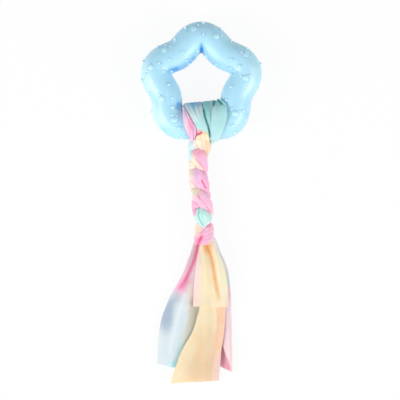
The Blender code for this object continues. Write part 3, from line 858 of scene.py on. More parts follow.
    def on_face(self, pixel: Pixel, height: float) -> tuple[Vector, Vector]:
        """Find the foot and direction of a stud whose tip shows at a pixel.

        Args:
            pixel: Where the stud shows in the photograph.
            height: How far the stud stands out.

        Returns:
            Its foot on the tube's skin and the skin's normal there.
        """
        x, y = np.array(PHOTO.plan(pixel)) - self.middle.xy
        gaps = np.hypot(x - self.line[:, 0], y - self.line[:, 1])
        near = self.line[gaps.argmin()]
        out = Vector((x - near[0], y - near[1], 0.0))
        share = min(out.length / (self.tube_radius + height), self.face_reach)
        out = out.normalized() * share + Vector((0.0, 0.0, math.sqrt(1.0 - share ** 2)))
        return self.middle + Vector((*near, 0.0)) + out * self.tube_radius, out

    def on_back(self, lobe: int, place: Pair) -> tuple[Vector, Vector]:
        """Find the foot and direction of a stud on the lower face of a lobe.

        Args:
            lobe: Which lobe it is, from the top one leftwards.
            place: Turn from the lobe's middle and turn round the tube, in degrees.

        Returns:
            Its foot on the tube's skin and the skin's normal there.
        """
        off, down = (math.radians(angle) for angle in place)
        turn = np.array([math.pi / 2.0 + lobe * FULL_TURN / self.lobes + off])
        here = self.centre(turn)[0]
        ahead = self.centre(turn + self.ahead_turn)[0] - here
        out = Vector((ahead[1], -ahead[0], 0.0)).normalized() * math.cos(down)
        out.z = -math.sin(down)
        return self.middle + Vector((*here, 0.0)) + out * self.tube_radius, out

    def seats(self) -> list[tuple[Stud, Vector, Vector]]:
        """List every stud with its foot and direction."""
        found = [(Stud.NUB, *self.on_face(pixel, Stud.NUB.height)) for pixel in self.nubs]
        for pad, *toes in self.pads:
            found.append((Stud.PAD, *self.on_face(pad, Stud.PAD.height)))
            found += [(Stud.TOE, *self.on_face(toe, Stud.TOE.height)) for toe in toes]
        cloth_low, cloth_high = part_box("pink_loop")[0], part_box("sky_loop")[1]
        for lobe in range(self.lobes):
            for kind, table in ((Stud.NUB, self.back_nubs), (Stud.PAD, self.back_pads)):
                for place in table:
                    foot, out = self.on_back(lobe, place)
                    hidden = foot.y < self.middle.y and cloth_low.x < foot.x < cloth_high.x
                    if not hidden:
                        found.append((kind, foot, out))
        return found

    def build(self) -> bpy.types.Object:
        """Model the ring, dress it and hand it over."""
        ring = self.tube()
        ring.name = "rubber_ring"
        ring.data.name = "rubber_ring"
        models = {kind: self.stud(kind) for kind in Stud}
        copies = []
        for kind, foot, out in self.seats():
            copy = models[kind].copy()
            copy.data = models[kind].data.copy()
            turn = Vector((0.0, 0.0, 1.0)).rotation_difference(out).to_matrix().to_4x4()
            copy.data.transform(Matrix.Translation(foot) @ turn)
            bpy.context.scene.collection.objects.link(copy)
            copies.append(copy)
        deselect_all()
        for copy in copies:
            copy.select_set(True)
        bpy.context.view_layer.objects.active = copies[0]
        bpy.ops.object.join()
        studs = copies[0]
        union = ring.modifiers.new("studs", "BOOLEAN")
        union.operation = "UNION"
        union.solver = "EXACT"
        union.use_self = False
        union.object = studs
        apply_modifiers(ring)
        for leftover in (studs, *models.values()):
            bpy.data.objects.remove(leftover)
        co = places(ring)
        co[:, 2] = np.maximum(co[:, 2], self.table_gap)
        set_places(ring, co)
        select_only(ring)
        bpy.ops.object.shade_smooth_by_angle(angle=math.radians(self.smooth_angle))
        self.paint(ring)
        ring.data.materials.clear()
        ring.data.materials.append(self.finish.material("satin_rubber"))
        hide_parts("chew_ring")
        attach(ring, "ring")
        LOG.info("ring: %d studs, %d faces", len(copies), len(ring.data.polygons))
        return ring

    def paint(self, ring: bpy.types.Object) -> None:
        """Paint shade into the folds and round the studs' feet, and paint highlights on the studs' tips."""
        co = places(ring)
        colours = self.dye.colours(PHOTO.pixels(co))
        for kind, foot, out in self.seats():
            off = co - np.array(foot)
            rise = off @ np.array(out)
            aside = np.sqrt(np.maximum((off ** 2).sum(axis=1) - rise ** 2, 0.0))
            root = kind.value[1][0]
            # Painted shade round the stud's foot.
            foot_shade = np.exp(-((aside - root) / self.foot_shade_width) ** 2)
            foot_shade = foot_shade * (np.abs(rise) < self.foot_shade_height)
            # Painted highlight on the stud's tip.
            tip = (aside < root) * smooth_step(rise / kind.height)
            highlight_share = self.pad_highlight_share if kind is Stud.PAD else self.nub_highlight_share
            for share, tone in ((self.foot_shade_share * foot_shade, Tone.RUBBER_FOOT),
                                (highlight_share * tip, Tone.RUBBER_TIP)):
                colours = colours * (1.0 - share[:, None]) + tone.linear * share[:, None]
        # The colours, with their painted shade and highlights, go into the dye attribute.
        set_colour_attribute(ring, "dye", colours)


@dataclass(frozen=True)
class Valley:
    """A groove between two pleats of a loop.

    Attributes:
        start: Share across the loop where the groove is at the hem.
        end: Share across the loop where it is at the neck.
        width: Half-width as a share of the loop.
        depth: Depth as a share of the loop's thickness.
        front: How far down the front the groove runs, as a share of the front.
        soft_side: How many times wider the groove is to its left than to its right.
        ease: Share of the front over which the groove deepens, and dies away.
        hem_share: Share of its depth that it has at the hem.
    """

    start: float
    end: float
    width: float = 0.05
    depth: float = 0.6
    front: float = 1.0
    soft_side: float = 1.0
    ease: float = 0.25
    hem_share: float = 0.3

    def dip(self, across: Points, front: Points) -> Points:
        """Return how far the groove lowers each place, as a share of the thickness."""
        off = across - self.start - (self.end - self.start) * front
        width = np.where(off < 0.0, self.width * self.soft_side, self.width)
        fading = smooth_step((self.front - front) / self.ease + 1.0)
        deepening = self.hem_share + (1.0 - self.hem_share) * smooth_step(front / self.ease)
        return self.depth * (fading * deepening) * np.exp(-(off / width) ** 2)


@dataclass
class ClothLoop:
    """One strip gathered and folded over the ring.

    Attributes:
        name: Name of the new piece.
        node: CAD node that it stands for.
        slot: Material slot of the record; not used.
        column: Column of the edge table that holds its left edge.
        valleys: Grooves between its pleats.
        dye: How it is dyed, with painted shade in its grooves.
        tips: Pixels of the left and right corners of its front end.
        tip_z: Height of the front end's underside and of its top.
        reach: Half-width that the seams' table gives shares of.
        clearance: Gap to the rubber.
        thickness: Height of the gathered cloth over the front.
        back_thickness: Height of it round the back.
        seam_gap: Gap between two loops, and to the table.
        front_leg: Share of the way in which the front runs off the ring.
        back_leg: Share of the way in which the back runs off the ring.
        wrap_turns: Turns round the tube, from the hole side, where the wrap starts and ends.
        hem_slope: How far the hem climbs to the right for each metre across.
        hem_rise: How far the hem stands into the hole.
        hem_at: Share of the wrap at which the hem shows from above.
        hem_width: Share of the wrap over which the loops lie flush beside each other.
        across_steps: Faces round the roll.
        along_steps: Faces along the roll.
        seat_rounds: How often a place is moved off the nearest point of the ring.
        edge_softness: Share of the way over which a seam's corners are rounded.
        least_crown: Least height of the cloth between pleats, as a share of its thickness.
        lower_share: Share of the thickness that lies below the roll's middle.
        rim_power: How round the roll's section is: 1 is an ellipse, and 0 is a box.
        hem_drop: How much lower that power is at the hem.
        thin_from: Share of the wrap from which the cloth thins towards the back.
        thin_span: Share of the wrap over which it thins.
        tip_rim: Height of the front end's rim as a share of its middle's.
        back_rim: Height of the back end's rim as a share of its middle's.
        back_lower: Height of the back end's underside as such a share.
        cloth: Width and length of the cloth in the roll, for its knit.
        edges: Share of the way, then the left and right edge of each loop in turn.
    """

    name: str
    node: str
    slot: str
    column: int
    valleys: tuple[Valley, ...]
    dye: DyeAndPaintedLight
    tips: tuple[Pixel, Pixel]
    tip_z: Pair
    reach: float = 0.0238
    clearance: float = 0.0005
    thickness: float = 0.0030
    back_thickness: float = 0.0014
    seam_gap: float = 0.0003
    front_leg: float = 0.25
    back_leg: float = 0.174
    wrap_turns: Pair = (168.0, -114.0)
    hem_slope: float = 0.095
    hem_rise: float = 0.0006
    hem_at: float = 0.60
    hem_width: float = 0.32
    across_steps: int = 72
    along_steps: int = 160
    seat_rounds: int = 2
    edge_softness: float = 0.03
    least_crown: float = 0.12
    lower_share: float = 0.25
    rim_power: float = 0.6
    hem_drop: float = 0.4
    thin_from: float = 0.5
    thin_span: float = 0.4
    tip_rim: float = 0.4
    back_rim: float = 0.75
    back_lower: float = 0.04
    cloth: Pair = (0.044, 0.105)
    edges: tuple[tuple[float, ...], ...] = (
        (0.00, -0.36, -0.10, -0.10, 0.34, 0.34, 0.50),
        (0.174, -0.42, -0.33, -0.30, 0.34, 0.34, 0.64),
        (0.22, -0.46, -0.25, -0.22, 0.32, 0.32, 0.72),
        (0.28, -0.61, -0.15, -0.15, 0.25, 0.25, 0.86),
        (0.34, -0.71, -0.32, -0.32, 0.16, 0.16, 0.95),
        (0.40, -0.72, -0.50, -0.50, 0.08, 0.08, 0.97),
        (0.46, -0.71, -0.64, -0.64, 0.03, 0.03, 0.97),
        (0.52, -0.76, -0.72, -0.72, 0.01, 0.01, 0.94),
        (0.58, -0.76, -0.70, -0.70, 0.02, 0.02, 0.88),
        (0.66, -0.62, -0.46, -0.46, 0.04, 0.04, 0.66),
        (0.82, -0.54, -0.24, -0.24, 0.16, 0.16, 0.62),
        (1.00, -0.33, -0.13, -0.13, 0.13, 0.13, 0.37),
    )

    def edge(self, way: Points, index: int) -> Points:
        """Return a seam's place across at each share of the way."""
        table = np.array(self.edges)
        smooth = np.zeros_like(way)
        for shift in (-self.edge_softness, 0.0, self.edge_softness):
            smooth += np.interp(way + shift, table[:, 0], table[:, index]) / 3.0
        return smooth * self.reach

    def seat(self, ring: ChewRing, co: Points, offset: Points, hug: Points) -> Points:
        """Seat the loop on the ring's skin.

        Args:
            ring: The ring.
            co: Places off the ring's middle.
            offset: Least distance of each place from the skin.
            hug: How fully a place that is further off is drawn in, from 0 to 1.

        Returns:
            The seated places.
        """
        for _ in range(self.seat_rounds):
            gap = np.hypot(co[:, None, 0] - ring.line[:, 0], co[:, None, 1] - ring.line[:, 1])
            near = ring.line[gap.argmin(axis=1)]
            out = co - np.column_stack([near, np.zeros(len(co))])
            away = np.linalg.norm(out, axis=1)
            push = (ring.tube_radius + offset) / np.maximum(away, LEAST_LENGTH)
            push = np.where(push < 1.0, 1.0 + (push - 1.0) * hug, push)
            co = co - out + out * push[:, None]
        return co

    def crown(self, across: Points, wrap: Points) -> Points:
        """Return the loop's height as a share of its thickness, with its pleats."""
        front = np.clip((self.hem_at - wrap) / self.hem_at, 0.0, 1.0)
        height = np.ones_like(across)
        for valley in self.valleys:
            height -= valley.dip(across, front)
        return np.maximum(height, self.least_crown)

    def build(self, ring: ChewRing) -> bpy.types.Object:
        """Shape and dye the loop."""
        piece, around, way = grid_piece(self.name, self.across_steps, self.along_steps)
        phase = FULL_TURN * around
        across = (1.0 - np.cos(phase)) / 2.0
        top = np.sin(phase) >= 0.0
        left = self.edge(way, self.column) + self.seam_gap / 2.0
        right = self.edge(way, self.column + 1) - self.seam_gap / 2.0
        x = left + (right - left) * across
        wrap = (way - self.back_leg) / (1.0 - 2.0 * self.back_leg)
        held = np.clip(wrap, 0.0, 1.0)
        at_hem = smooth_step(1.0 - np.abs(wrap - self.hem_at) / self.hem_width)
        rim = np.abs(np.sin(phase)) ** (self.rim_power - self.hem_drop * at_hem)
        turn = np.radians(self.wrap_turns[0] + (self.wrap_turns[1] - self.wrap_turns[0]) * held)
        back = smooth_step((wrap - self.thin_from) / self.thin_span)
        thick = self.thickness + (self.back_thickness - self.thickness) * back
        crown = self.crown(across, wrap)
        lower = self.lower_share * thick
        lift = self.clearance + lower
        offset = np.maximum(np.where(top, lift + (thick * crown - lower) * rim,
                                     lift - lower * rim), self.clearance)
        drop = ring.mean_radius - ring.lobe_swing - self.hem_slope * x - self.hem_rise
        lean = ring.tube_radius + offset
        x = x - ring.middle.x
        wrapped = np.stack([x, lean * np.cos(turn) - drop, lean * np.sin(turn)], axis=1)
        tip = self.front_tip(across, top, crown * rim) - np.array(ring.middle)
        seat = self.back_seat(ring, x, top, crown * rim)
        front = smooth_step(1.0 - way / self.front_leg)[:, None]
        behind = smooth_step((way - 1.0 + self.back_leg) / self.back_leg)[:, None]
        co = wrapped * (1.0 - front - behind) + tip * front + seat * behind
        slack = 1.0 - np.maximum(front, behind)[:, 0]
        co = self.seat(ring, co, self.clearance + (offset - self.clearance) * slack,
                       np.where(top, 0.0, smooth_step(slack * 2.0 - 1.0)))
        co += np.array(ring.middle)
        co[:, 2] = np.maximum(co[:, 2], self.seam_gap)
        finish_roll(piece, co, self.cloth, self.dye)
        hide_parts(self.node)
        ring.middle.z
        ring.middle.z
        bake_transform(piece)
        LOG.info("%s: %d faces", self.name, len(piece.data.polygons))
        return piece

    def front_tip(self, across: Points, top: Points, crown: Points) -> Points:
        """Place the loop's front end, where it lies on the plait.

        Args:
            across: Share of each place across the loop.
            top: Whether it is on the loop's outer side.
            crown: Its height as a share of the thickness.

        Returns:
            The places.
        """
        left, right = (np.array(PHOTO.plan(pixel)) for pixel in self.tips)
        plan = left + (right - left) * across[:, None]
        low, high = self.tip_z
        share = self.tip_rim + (1.0 - self.tip_rim) * crown
        z = np.where(top, low + (high - low) * share, low)
        return np.column_stack([plan, z])

    def back_seat(self, ring: ChewRing, x: Points, top: Points, crown: Points) -> Points:
        """Place the loop's back end, which goes into the plait's underside.

        Args:
            ring: The ring.
            x: Each place across, off the ring's middle.
            top: Whether it is on the loop's outer side.
            crown: Its height as a share of the thickness.

        Returns:
            The places, off the ring's middle.
        """
        low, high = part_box("strand_left")
        middle = (low.z + high.z) / 2.0
        share = self.back_rim + (1.0 - self.back_rim) * crown
        height = (middle - self.seam_gap) * np.where(top, share, self.back_lower)
        y = np.full_like(x, high.y + self.seam_gap - ring.middle.y)
        return np.stack([x, y, middle - height - ring.middle.z], axis=1)


@dataclass
class Plait:
    """Three strands that pass over each other, pressed flat where they touch.

    Attributes:
        length: Length of the plait.
        turn_length: Length in which a strand comes back to its place.
        wave_width: How far a strand swings across.
        wave_depth: How far a strand swings over and under.
        sway: How far the plait bows to one side.
        bow_share: Share of the plait that the bow takes.
        strand_radius: Radius of a strand that nothing presses.
        strand_gap: Gap left where two strands touch.
        lead: Straight stretch at each end.
        roll: Turn of the plait about its own length, in degrees.
        start_share: Where in its turn the first strand starts.
        flat_share: How flat the whole plait is pressed.
        squeeze: How sharply a strand flattens on its mates.
        loose_share: How much fuller a strand is on its open side.
        outline_softness: Rounding of the outline in pixels.
        left_outline: Pixels of the plait's left outline.
        right_outline: Pixels of its right outline.
        tongue_length: Length of the last crossing that lies on the knot.
        tongue_width: Half-width at which the tongue ends.
        tongue_rise: How far the tongue climbs to lie on the knot.
        tongue_tip_z: Height at which its tip lies on the knot.
        tongue_tip_depth: Half-thickness of its tip.
        tongue_taper: How late the tongue narrows: higher is later.
        tongue_lower: How much further its underside climbs than its top.
        into_knot: How far the other strands run into the knot.
        sides: Faces round a strand.
        rows: Faces along a strand.
        strands: Number of strands.
        least_facing: Least share by which a strand may turn to a mate and press on it.
        free_share: Share of the strand's radius beyond which nothing presses it.
        ripples: Height of each set of fine folds, then its folds round the strand, along
            it and from strand to strand, in radians.
        cloth: Width and length of the cloth in a strand, for its knit.
    """

    length: float = 0.0760
    turn_length: float = 0.0535
    wave_width: float = 0.0032
    wave_depth: float = 0.0026
    sway: float = 0.0040
    bow_share: float = 0.86
    strand_radius: float = 0.0062
    strand_gap: float = 0.0002
    lead: float = 0.0030
    roll: float = 50.0
    start_share: float = -0.19
    flat_share: float = 0.82
    squeeze: float = 14.0
    loose_share: float = 0.55
    outline_softness: float = 0.9
    left_outline: tuple[Pixel, ...] = (
        (188.6, 138.0), (187.8, 148.0), (188.0, 160.0), (188.3, 170.0), (189.0, 180.0), (189.8, 187.0),
        (192.2, 194.0), (191.6, 203.0), (192.0, 211.0), (193.4, 216.0), (196.0, 221.0), (199.0, 228.0))
    right_outline: tuple[Pixel, ...] = (
        (210.6, 138.0), (211.8, 144.0), (210.8, 150.0), (208.6, 155.0), (207.6, 160.0), (208.3, 168.0),
        (206.9, 174.4), (209.0, 178.0), (209.9, 184.0), (209.2, 190.7), (210.9, 194.5), (212.8, 203.0),
        (213.6, 211.0), (213.0, 216.0), (212.0, 221.0), (206.0, 228.0))
    tongue_length: float = 0.0058
    tongue_width: float = 0.0012
    tongue_rise: float = 0.0008
    tongue_tip_z: float = 0.0145
    tongue_tip_depth: float = 0.0007
    tongue_taper: float = 1.2
    tongue_lower: float = 2.0
    into_knot: float = 0.0018
    sides: int = 88
    rows: int = 230
    strands: int = 3
    least_facing: float = 0.001
    free_share: float = 0.9
    ripples: tuple[tuple[float, ...], ...] = (
        (0.00022, 5.0, 14.0, 2.0), (0.00016, 9.0, -23.0, 1.0))
    cloth: Pair = (0.036, 0.085)

    def __post_init__(self) -> None:
        low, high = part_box("strand_middle")
        self.top_y = high.y
        self.middle_z = (low.z + high.z) / 2.0

    def middle(self, index: int, share: Points) -> Points:
        """Return a strand's middle across and up, off the plait's own middle."""
        lead_share = self.lead / self.length
        held = np.clip(share, lead_share, 1.0 - lead_share)
        turn = FULL_TURN * (held * self.length / self.turn_length + index / self.strands
                            + self.start_share)
        roll = math.radians(self.roll)
        across = self.wave_width * np.sin(turn)
        over = self.wave_depth * np.sin(2.0 * turn)
        return np.stack([across * math.cos(roll) - over * math.sin(roll),
                         across * math.sin(roll) + over * math.cos(roll)], axis=-1)

    def strand_reach(self, index: int, share: Points, turn: Points) -> Points:
        """Find how far a strand swells before it presses on its mates.

        Args:
            index: Which strand it is, from the left.
            share: Share of the plait's length at each place.
            turn: Turn of each place about the strand.

        Returns:
            The distance of each place from the strand's middle.
        """
        here = self.middle(index, share)
        loose = 1.0 + self.loose_share * np.abs(np.cos(turn))
        total = (self.strand_radius * loose) ** -self.squeeze
        for other in range(self.strands):
            if other == index:
                continue
            to_mate = self.middle(other, share) - here
            gap = np.hypot(to_mate[:, 0], to_mate[:, 1])
            facing = np.cos(turn - np.arctan2(to_mate[:, 1], to_mate[:, 0]))
            stop = (gap - self.strand_gap) / 2.0 / np.maximum(facing, self.least_facing)
            total += np.where(facing > 0.0, stop ** -self.squeeze, 0.0)
        return total ** (-1.0 / self.squeeze)

    def held_in(self, x: Points, y: Points) -> Points:
        """Hold the strands within the outline that the loose cloth takes in the photograph."""
        pixels = PHOTO.pixels(np.stack([x, y], axis=1))
        soft = self.outline_softness
        for outline, side in ((self.left_outline, 1.0), (self.right_outline, -1.0)):
            table = np.array(outline)
            edge = np.interp(pixels[:, 1], table[:, 1], table[:, 0])
            within = np.logaddexp(0.0, side * (pixels[:, 0] - edge) / soft) * soft
            pixels[:, 0] = edge + side * within
        return (pixels[:, 0] - PHOTO.ring_pixel[0]) * PHOTO.metres_per_pixel

    def strand(self, index: int, name: str, node: str, dye: DyeAndPaintedLight,
               tongue: Pixel | None = None) -> bpy.types.Object:
        """Shape, dye and hand over one strand.

        Args:
            index: Which strand it is, from the left.
            name: Name of the new piece.
            node: CAD node that it stands for.
            dye: How it is dyed, with painted shade in its creases.
            tongue: Pixel of its tip, if it is the one that ends on the knot.

        Returns:
            The strand.
        """
        piece, around, run = grid_piece(name, self.sides, self.rows)
        extra = self.tongue_length if tongue else self.into_knot
        past = np.maximum(run * (self.length + extra) - self.length, 0.0) / extra
        share = np.minimum(run * (1.0 + extra / self.length), 1.0)
        turn = FULL_TURN * around
        here = self.middle(index, share)
        reach = self.strand_reach(index, share, turn)
        rolled = np.zeros_like(turn)
        for height, folds_round, folds_along, step in self.ripples:
            rolled += height * np.sin(folds_round * turn + folds_along * share + step * index)
        reach = reach + rolled * np.where(reach > self.free_share * self.strand_radius, 1.0, 0.0)
        sway = -self.sway * np.sin(math.pi * share / self.bow_share)
        y = self.top_y - share * self.length - past * extra
        x = self.held_in(sway + here[:, 0] + reach * np.cos(turn), y)
        z = self.middle_z + self.flat_share * (here[:, 1] + reach * np.sin(turn))
        if tongue:
            left = 1.0 - past ** self.tongue_taper
            tip_x = PHOTO.plan(tongue)[0] + self.tongue_width * np.cos(turn)
            x = tip_x * (1.0 - left) + x * left
            z += self.tongue_rise * past * np.where(np.sin(turn) > 0.0, 1.0, self.tongue_lower)
            flat_tip = self.tongue_tip_z + self.tongue_tip_depth * np.sin(turn)
            z = z + (flat_tip - z) * past ** 2
        z = np.maximum(z, TABLE_GAP)
        finish_roll(piece, np.stack([x, y, z], axis=1), self.cloth, dye)
        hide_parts(node)
        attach(piece, "braid")
        LOG.info("%s: %d faces", name, len(piece.data.polygons))
        return piece


@dataclass
class EndKnot:
    """The wrapped knot: a peach turn below, and a pink band drawn over it at a slant.

    Attributes:
        name: Name of the new piece.
        shift: How far it sits to the right.
        half_width: Half of its width.
        half_depth: Half of its depth.
        sides: Faces round it.
        rows: Faces along it.
        skirt: How far it reaches below the CAD's.
        swell: Share of the way down, and the knot's girth there as a share of its widest.
        swell_softness: Share of the way over which that table's corners are rounded.
        band_slant: How much lower the band starts at its middle than at its right side.
        band_ease: Share of the way over which the band sets in.
        band_step: How far the band stands out over the turn below it.
        wrap_height: Height of the band's wraps as a share of the half-width.
        wrap_count: How many radians of wraps there are down the knot.
        wrap_slant: How far the wraps follow the band's slant.
        wrap_bow: How far they bow round the knot, in radians.
        top_tuck: Girth of the top edge where it tucks in, as a share.
        table_share: Share of the depth that keeps the knot off the table.
        cloth: Width and length of the cloth in the knot, for its knit.
    """

    name: str = "wrapped_knot"
    shift: float = 0.0018
    half_width: float = 0.0092
    half_depth: float = 0.0078
    sides: int = 120
    rows: int = 90
    skirt: float = 0.0015
    swell: tuple[Pair, ...] = ((0.0, 0.74), (0.08, 0.90), (0.30, 0.99), (0.55, 1.0),
                               (0.80, 0.97), (1.0, 0.84))
    swell_softness: float = 0.04
    band_slant: float = 0.30
    band_ease: float = 0.10
    band_step: float = 0.10
    wrap_height: float = 0.020
    wrap_count: float = 34.0
    wrap_slant: float = 0.30
    wrap_bow: float = 2.0
    top_tuck: float = 0.8
    table_share: float = 0.98
    cloth: Pair = (0.044, 0.022)

    def build(self, dye: DyeAndPaintedLight) -> bpy.types.Object:
        """Shape, dye and hand over the knot."""
        low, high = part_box("end_knot")
        piece, around, share = grid_piece(self.name, self.sides, self.rows)
        turn = FULL_TURN * around
        table = np.array(self.swell)
        out = sum(np.interp(share + shift, table[:, 0], table[:, 1])
                  for shift in (-self.swell_softness, 0.0, self.swell_softness)) / 3.0
        edge = self.band_slant * (1.0 - np.cos(turn))
        band = smooth_step((share - edge) / self.band_ease)
        out = out - (1.0 - band) * self.band_step
        length = high.y - low.y
        wraps = self.wrap_height * np.sin(self.wrap_count * (share - self.wrap_slant * edge)
                                          + self.wrap_bow * np.cos(turn))
        out = out + wraps * band
        out = np.where(share <= 0.0, out * self.top_tuck, out)
        x = self.shift + self.half_width * out * np.cos(turn)
        y = high.y - (length + self.skirt) * share
        z = self.half_depth + self.half_depth * out * np.sin(turn) * self.table_share
        finish_roll(piece, np.stack([x, y, z], axis=1), self.cloth, dye)
        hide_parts("end_knot")
        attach(piece, "braid")
        LOG.info("%s: %d faces", self.name, len(piece.data.polygons))
        return piece


@dataclass
class FreeEnd:
    """One free end below the knot: a strip gathered at the neck that opens out.

    Attributes:
        name: Name of the new piece.
        node: CAD node that it stands for.
        slot: Material slot of the record; not used.
        layer: How many layers of cloth lie below it.
        length: Length below the hinge.
        reach: Half-width that its edges are shares of.
        edges: Rows of share down, left edge and right edge.
        hem_slant: How much longer it is at the right than at the left.
        dye: How it is dyed and folded, with painted shade in its creases.
        flat: Width and length that it was cut to.
        rests_on: What it lies on; not used.
        thickness: Thickness of the cloth.
        layer_step: Height from one layer to the next where they lie flat.
        neck_step: Height from one layer to the next at the knot.
        drop_length: Length in which the cloth comes down from the knot.
        neck_radius: Radius round the hinge within which the cloth is gathered.
        into_knot: How far further it runs into the knot.
        shift: How far it hangs to the right.
        hinge: Place along the toy and height of the hinge.
        columns: Faces across.
        rows: Faces along.
        gathers: Number of fine gathers across the neck.
        gather_depth: Their height.
        gather_length: Length in which they die away.
        head_length: Length of the head that is tucked into the knot.
        middle_layer: Layer that leaves the knot at the hinge's height.
        rest_z: Height of the lowest layer over the table.
        smooth_angle: Angle in degrees up to which the shading is smooth.
        edge_shifts: Shares of the way at which an edge is read, to round its corners.
        edge_ease: How fast those shifts set in from either end.
        fold_lines: Place across of each fold that all the layers share, at the knot and at
            its far end, as shares.
        fold_reach: Half-widths that those shares are of, at the knot and at the far end.
        fold_length: Length of the folds.
        fold_height: Height of a fold.
        fold_width: Half-width of a fold.
        fold_start: Share of its length in which a fold rises.
    """

    name: str
    node: str
    slot: str
    layer: int
    length: float
    reach: float
    edges: tuple[tuple[float, float, float], ...]
    hem_slant: float
    dye: DyeAndPaintedLight
    flat: Pair
    rests_on: tuple[str, ...]
    thickness: float = 0.0009
    layer_step: float = 0.0022
    neck_step: float = 0.0028
    drop_length: float = 0.0450
    neck_radius: float = 0.0082
    into_knot: float = 0.0
    shift: float = 0.0018
    hinge: Pair = (-0.0442, 0.0078)
    columns: int = 60
    rows: int = 96
    gathers: float = 3.0
    gather_depth: float = 0.0003
    gather_length: float = 0.030
    head_length: float = 0.006
    middle_layer: float = 1.5
    rest_z: float = 0.0008
    smooth_angle: float = 50.0
    edge_shifts: tuple[float, ...] = (-0.04, -0.02, 0.0, 0.02, 0.04)
    edge_ease: float = 8.0
    fold_lines: tuple[Pair, ...] = ((-0.35, -0.64), (0.10, 0.02), (0.85, 0.62))
    fold_reach: Pair = (0.0092, 0.0425)
    fold_length: float = 0.1205
    fold_height: float = 0.0024
    fold_width: float = 0.0060
    fold_start: float = 0.16

    def folds(self, x: Points, drop: Points) -> Points:
        """Return how the folds shared by all the layers lift the cloth."""
        share = drop / self.fold_length
        rise = np.zeros_like(x)
        for line in self.fold_lines:
            start, end = (place * reach for place, reach in zip(line, self.fold_reach))
            middle = start + (end - start) * share
            rise += self.fold_height * np.exp(-((x - middle) / self.fold_width) ** 2)
        return rise * smooth_step(share / self.fold_start)

    def build(self) -> bpy.types.Object:
        """Shape and dye the free end."""
        piece, across, way = grid_piece(self.name, self.columns, self.rows)
        table = np.array(self.edges)
        left = np.zeros_like(way)
        right = np.zeros_like(way)
        reads = len(self.edge_shifts)
        for shift in self.edge_shifts:
            at = np.clip(way + shift * np.minimum(way, 1.0 - way) * self.edge_ease, 0.0, 1.0)
            left += np.interp(at, table[:, 0], table[:, 1]) / reads * self.reach
            right += np.interp(at, table[:, 0], table[:, 2]) / reads * self.reach
        x = left + (right - left) * across
        drop = way * self.length * (1.0 + self.hem_slant * (across - 0.5) * way)
        settled = smooth_step(drop / self.drop_length)
        hinge_y, hinge_z = self.hinge
        at_neck = hinge_z + (self.layer - self.middle_layer) * self.neck_step
        flat = self.layer * self.layer_step + self.rest_z
        z = at_neck + (flat - at_neck) * settled + self.folds(x, drop)
        gather = np.exp(-way * self.length / self.gather_length)
        z += self.gather_depth * gather * np.sin(FULL_TURN * self.gathers * across + self.layer)
        y = hinge_y - drop
        head = smooth_step(1.0 - way * self.length / self.head_length)
        y += head * (np.sqrt(np.maximum(self.neck_radius ** 2 - (z - hinge_z) ** 2, 0.0))
                     + self.into_knot)
        co = np.stack([x + self.shift, y, z], axis=1)
        pixels = PHOTO.pixels(co)
        co[:, 2] += self.dye.relief(pixels)
        co[:, 2] = np.maximum(co[:, 2], self.thickness / 2.0 + TABLE_GAP)
        set_places(piece, co)
        scale_uv(piece, *self.flat)
        wall = piece.modifiers.new("wall", "SOLIDIFY")
        wall.thickness = self.thickness
        wall.offset = 0.0
        apply_modifiers(piece)
        bpy.ops.object.shade_smooth_by_angle(angle=math.radians(self.smooth_angle))
        set_colour_attribute(piece, "dye", self.dye.colours(PHOTO.pixels(places(piece))))
        piece.data.materials.append(ClothFinish().material(self.name + "_knit"))
        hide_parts(self.node)
        self.bend(piece)
        LOG.info("%s: %d faces", self.name, len(piece.data.polygons))
        return piece

    def bend(self, piece: bpy.types.Object) -> None:
        """Bake the piece's place into its mesh."""
        if self.node == "front_tail":
            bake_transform(piece)
            return
        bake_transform(piece)


@dataclass(frozen=True)
class SoftBox:
    """A soft box over the table.

    Attributes:
        name: Name of the lamp.
        place: Where it hangs.
        size: Its width and height.
        watts: Its power.
    """

    name: str
    place: tuple[float, float, float]
    size: Pair
    watts: float

    def hang(self, aim: Vector) -> None:
        """Hang the soft box so that it faces a place."""
        data = bpy.data.lights.new(self.name, "AREA")
        data.shape = "RECTANGLE"
        data.size, data.size_y = self.size
        data.energy = self.watts
        lamp = bpy.data.objects.new(self.name, data)
        bpy.context.scene.collection.objects.link(lamp)
        lamp.location = self.place
        lamp.rotation_euler = (aim - Vector(self.place)).to_track_quat("-Z", "Y").to_euler()


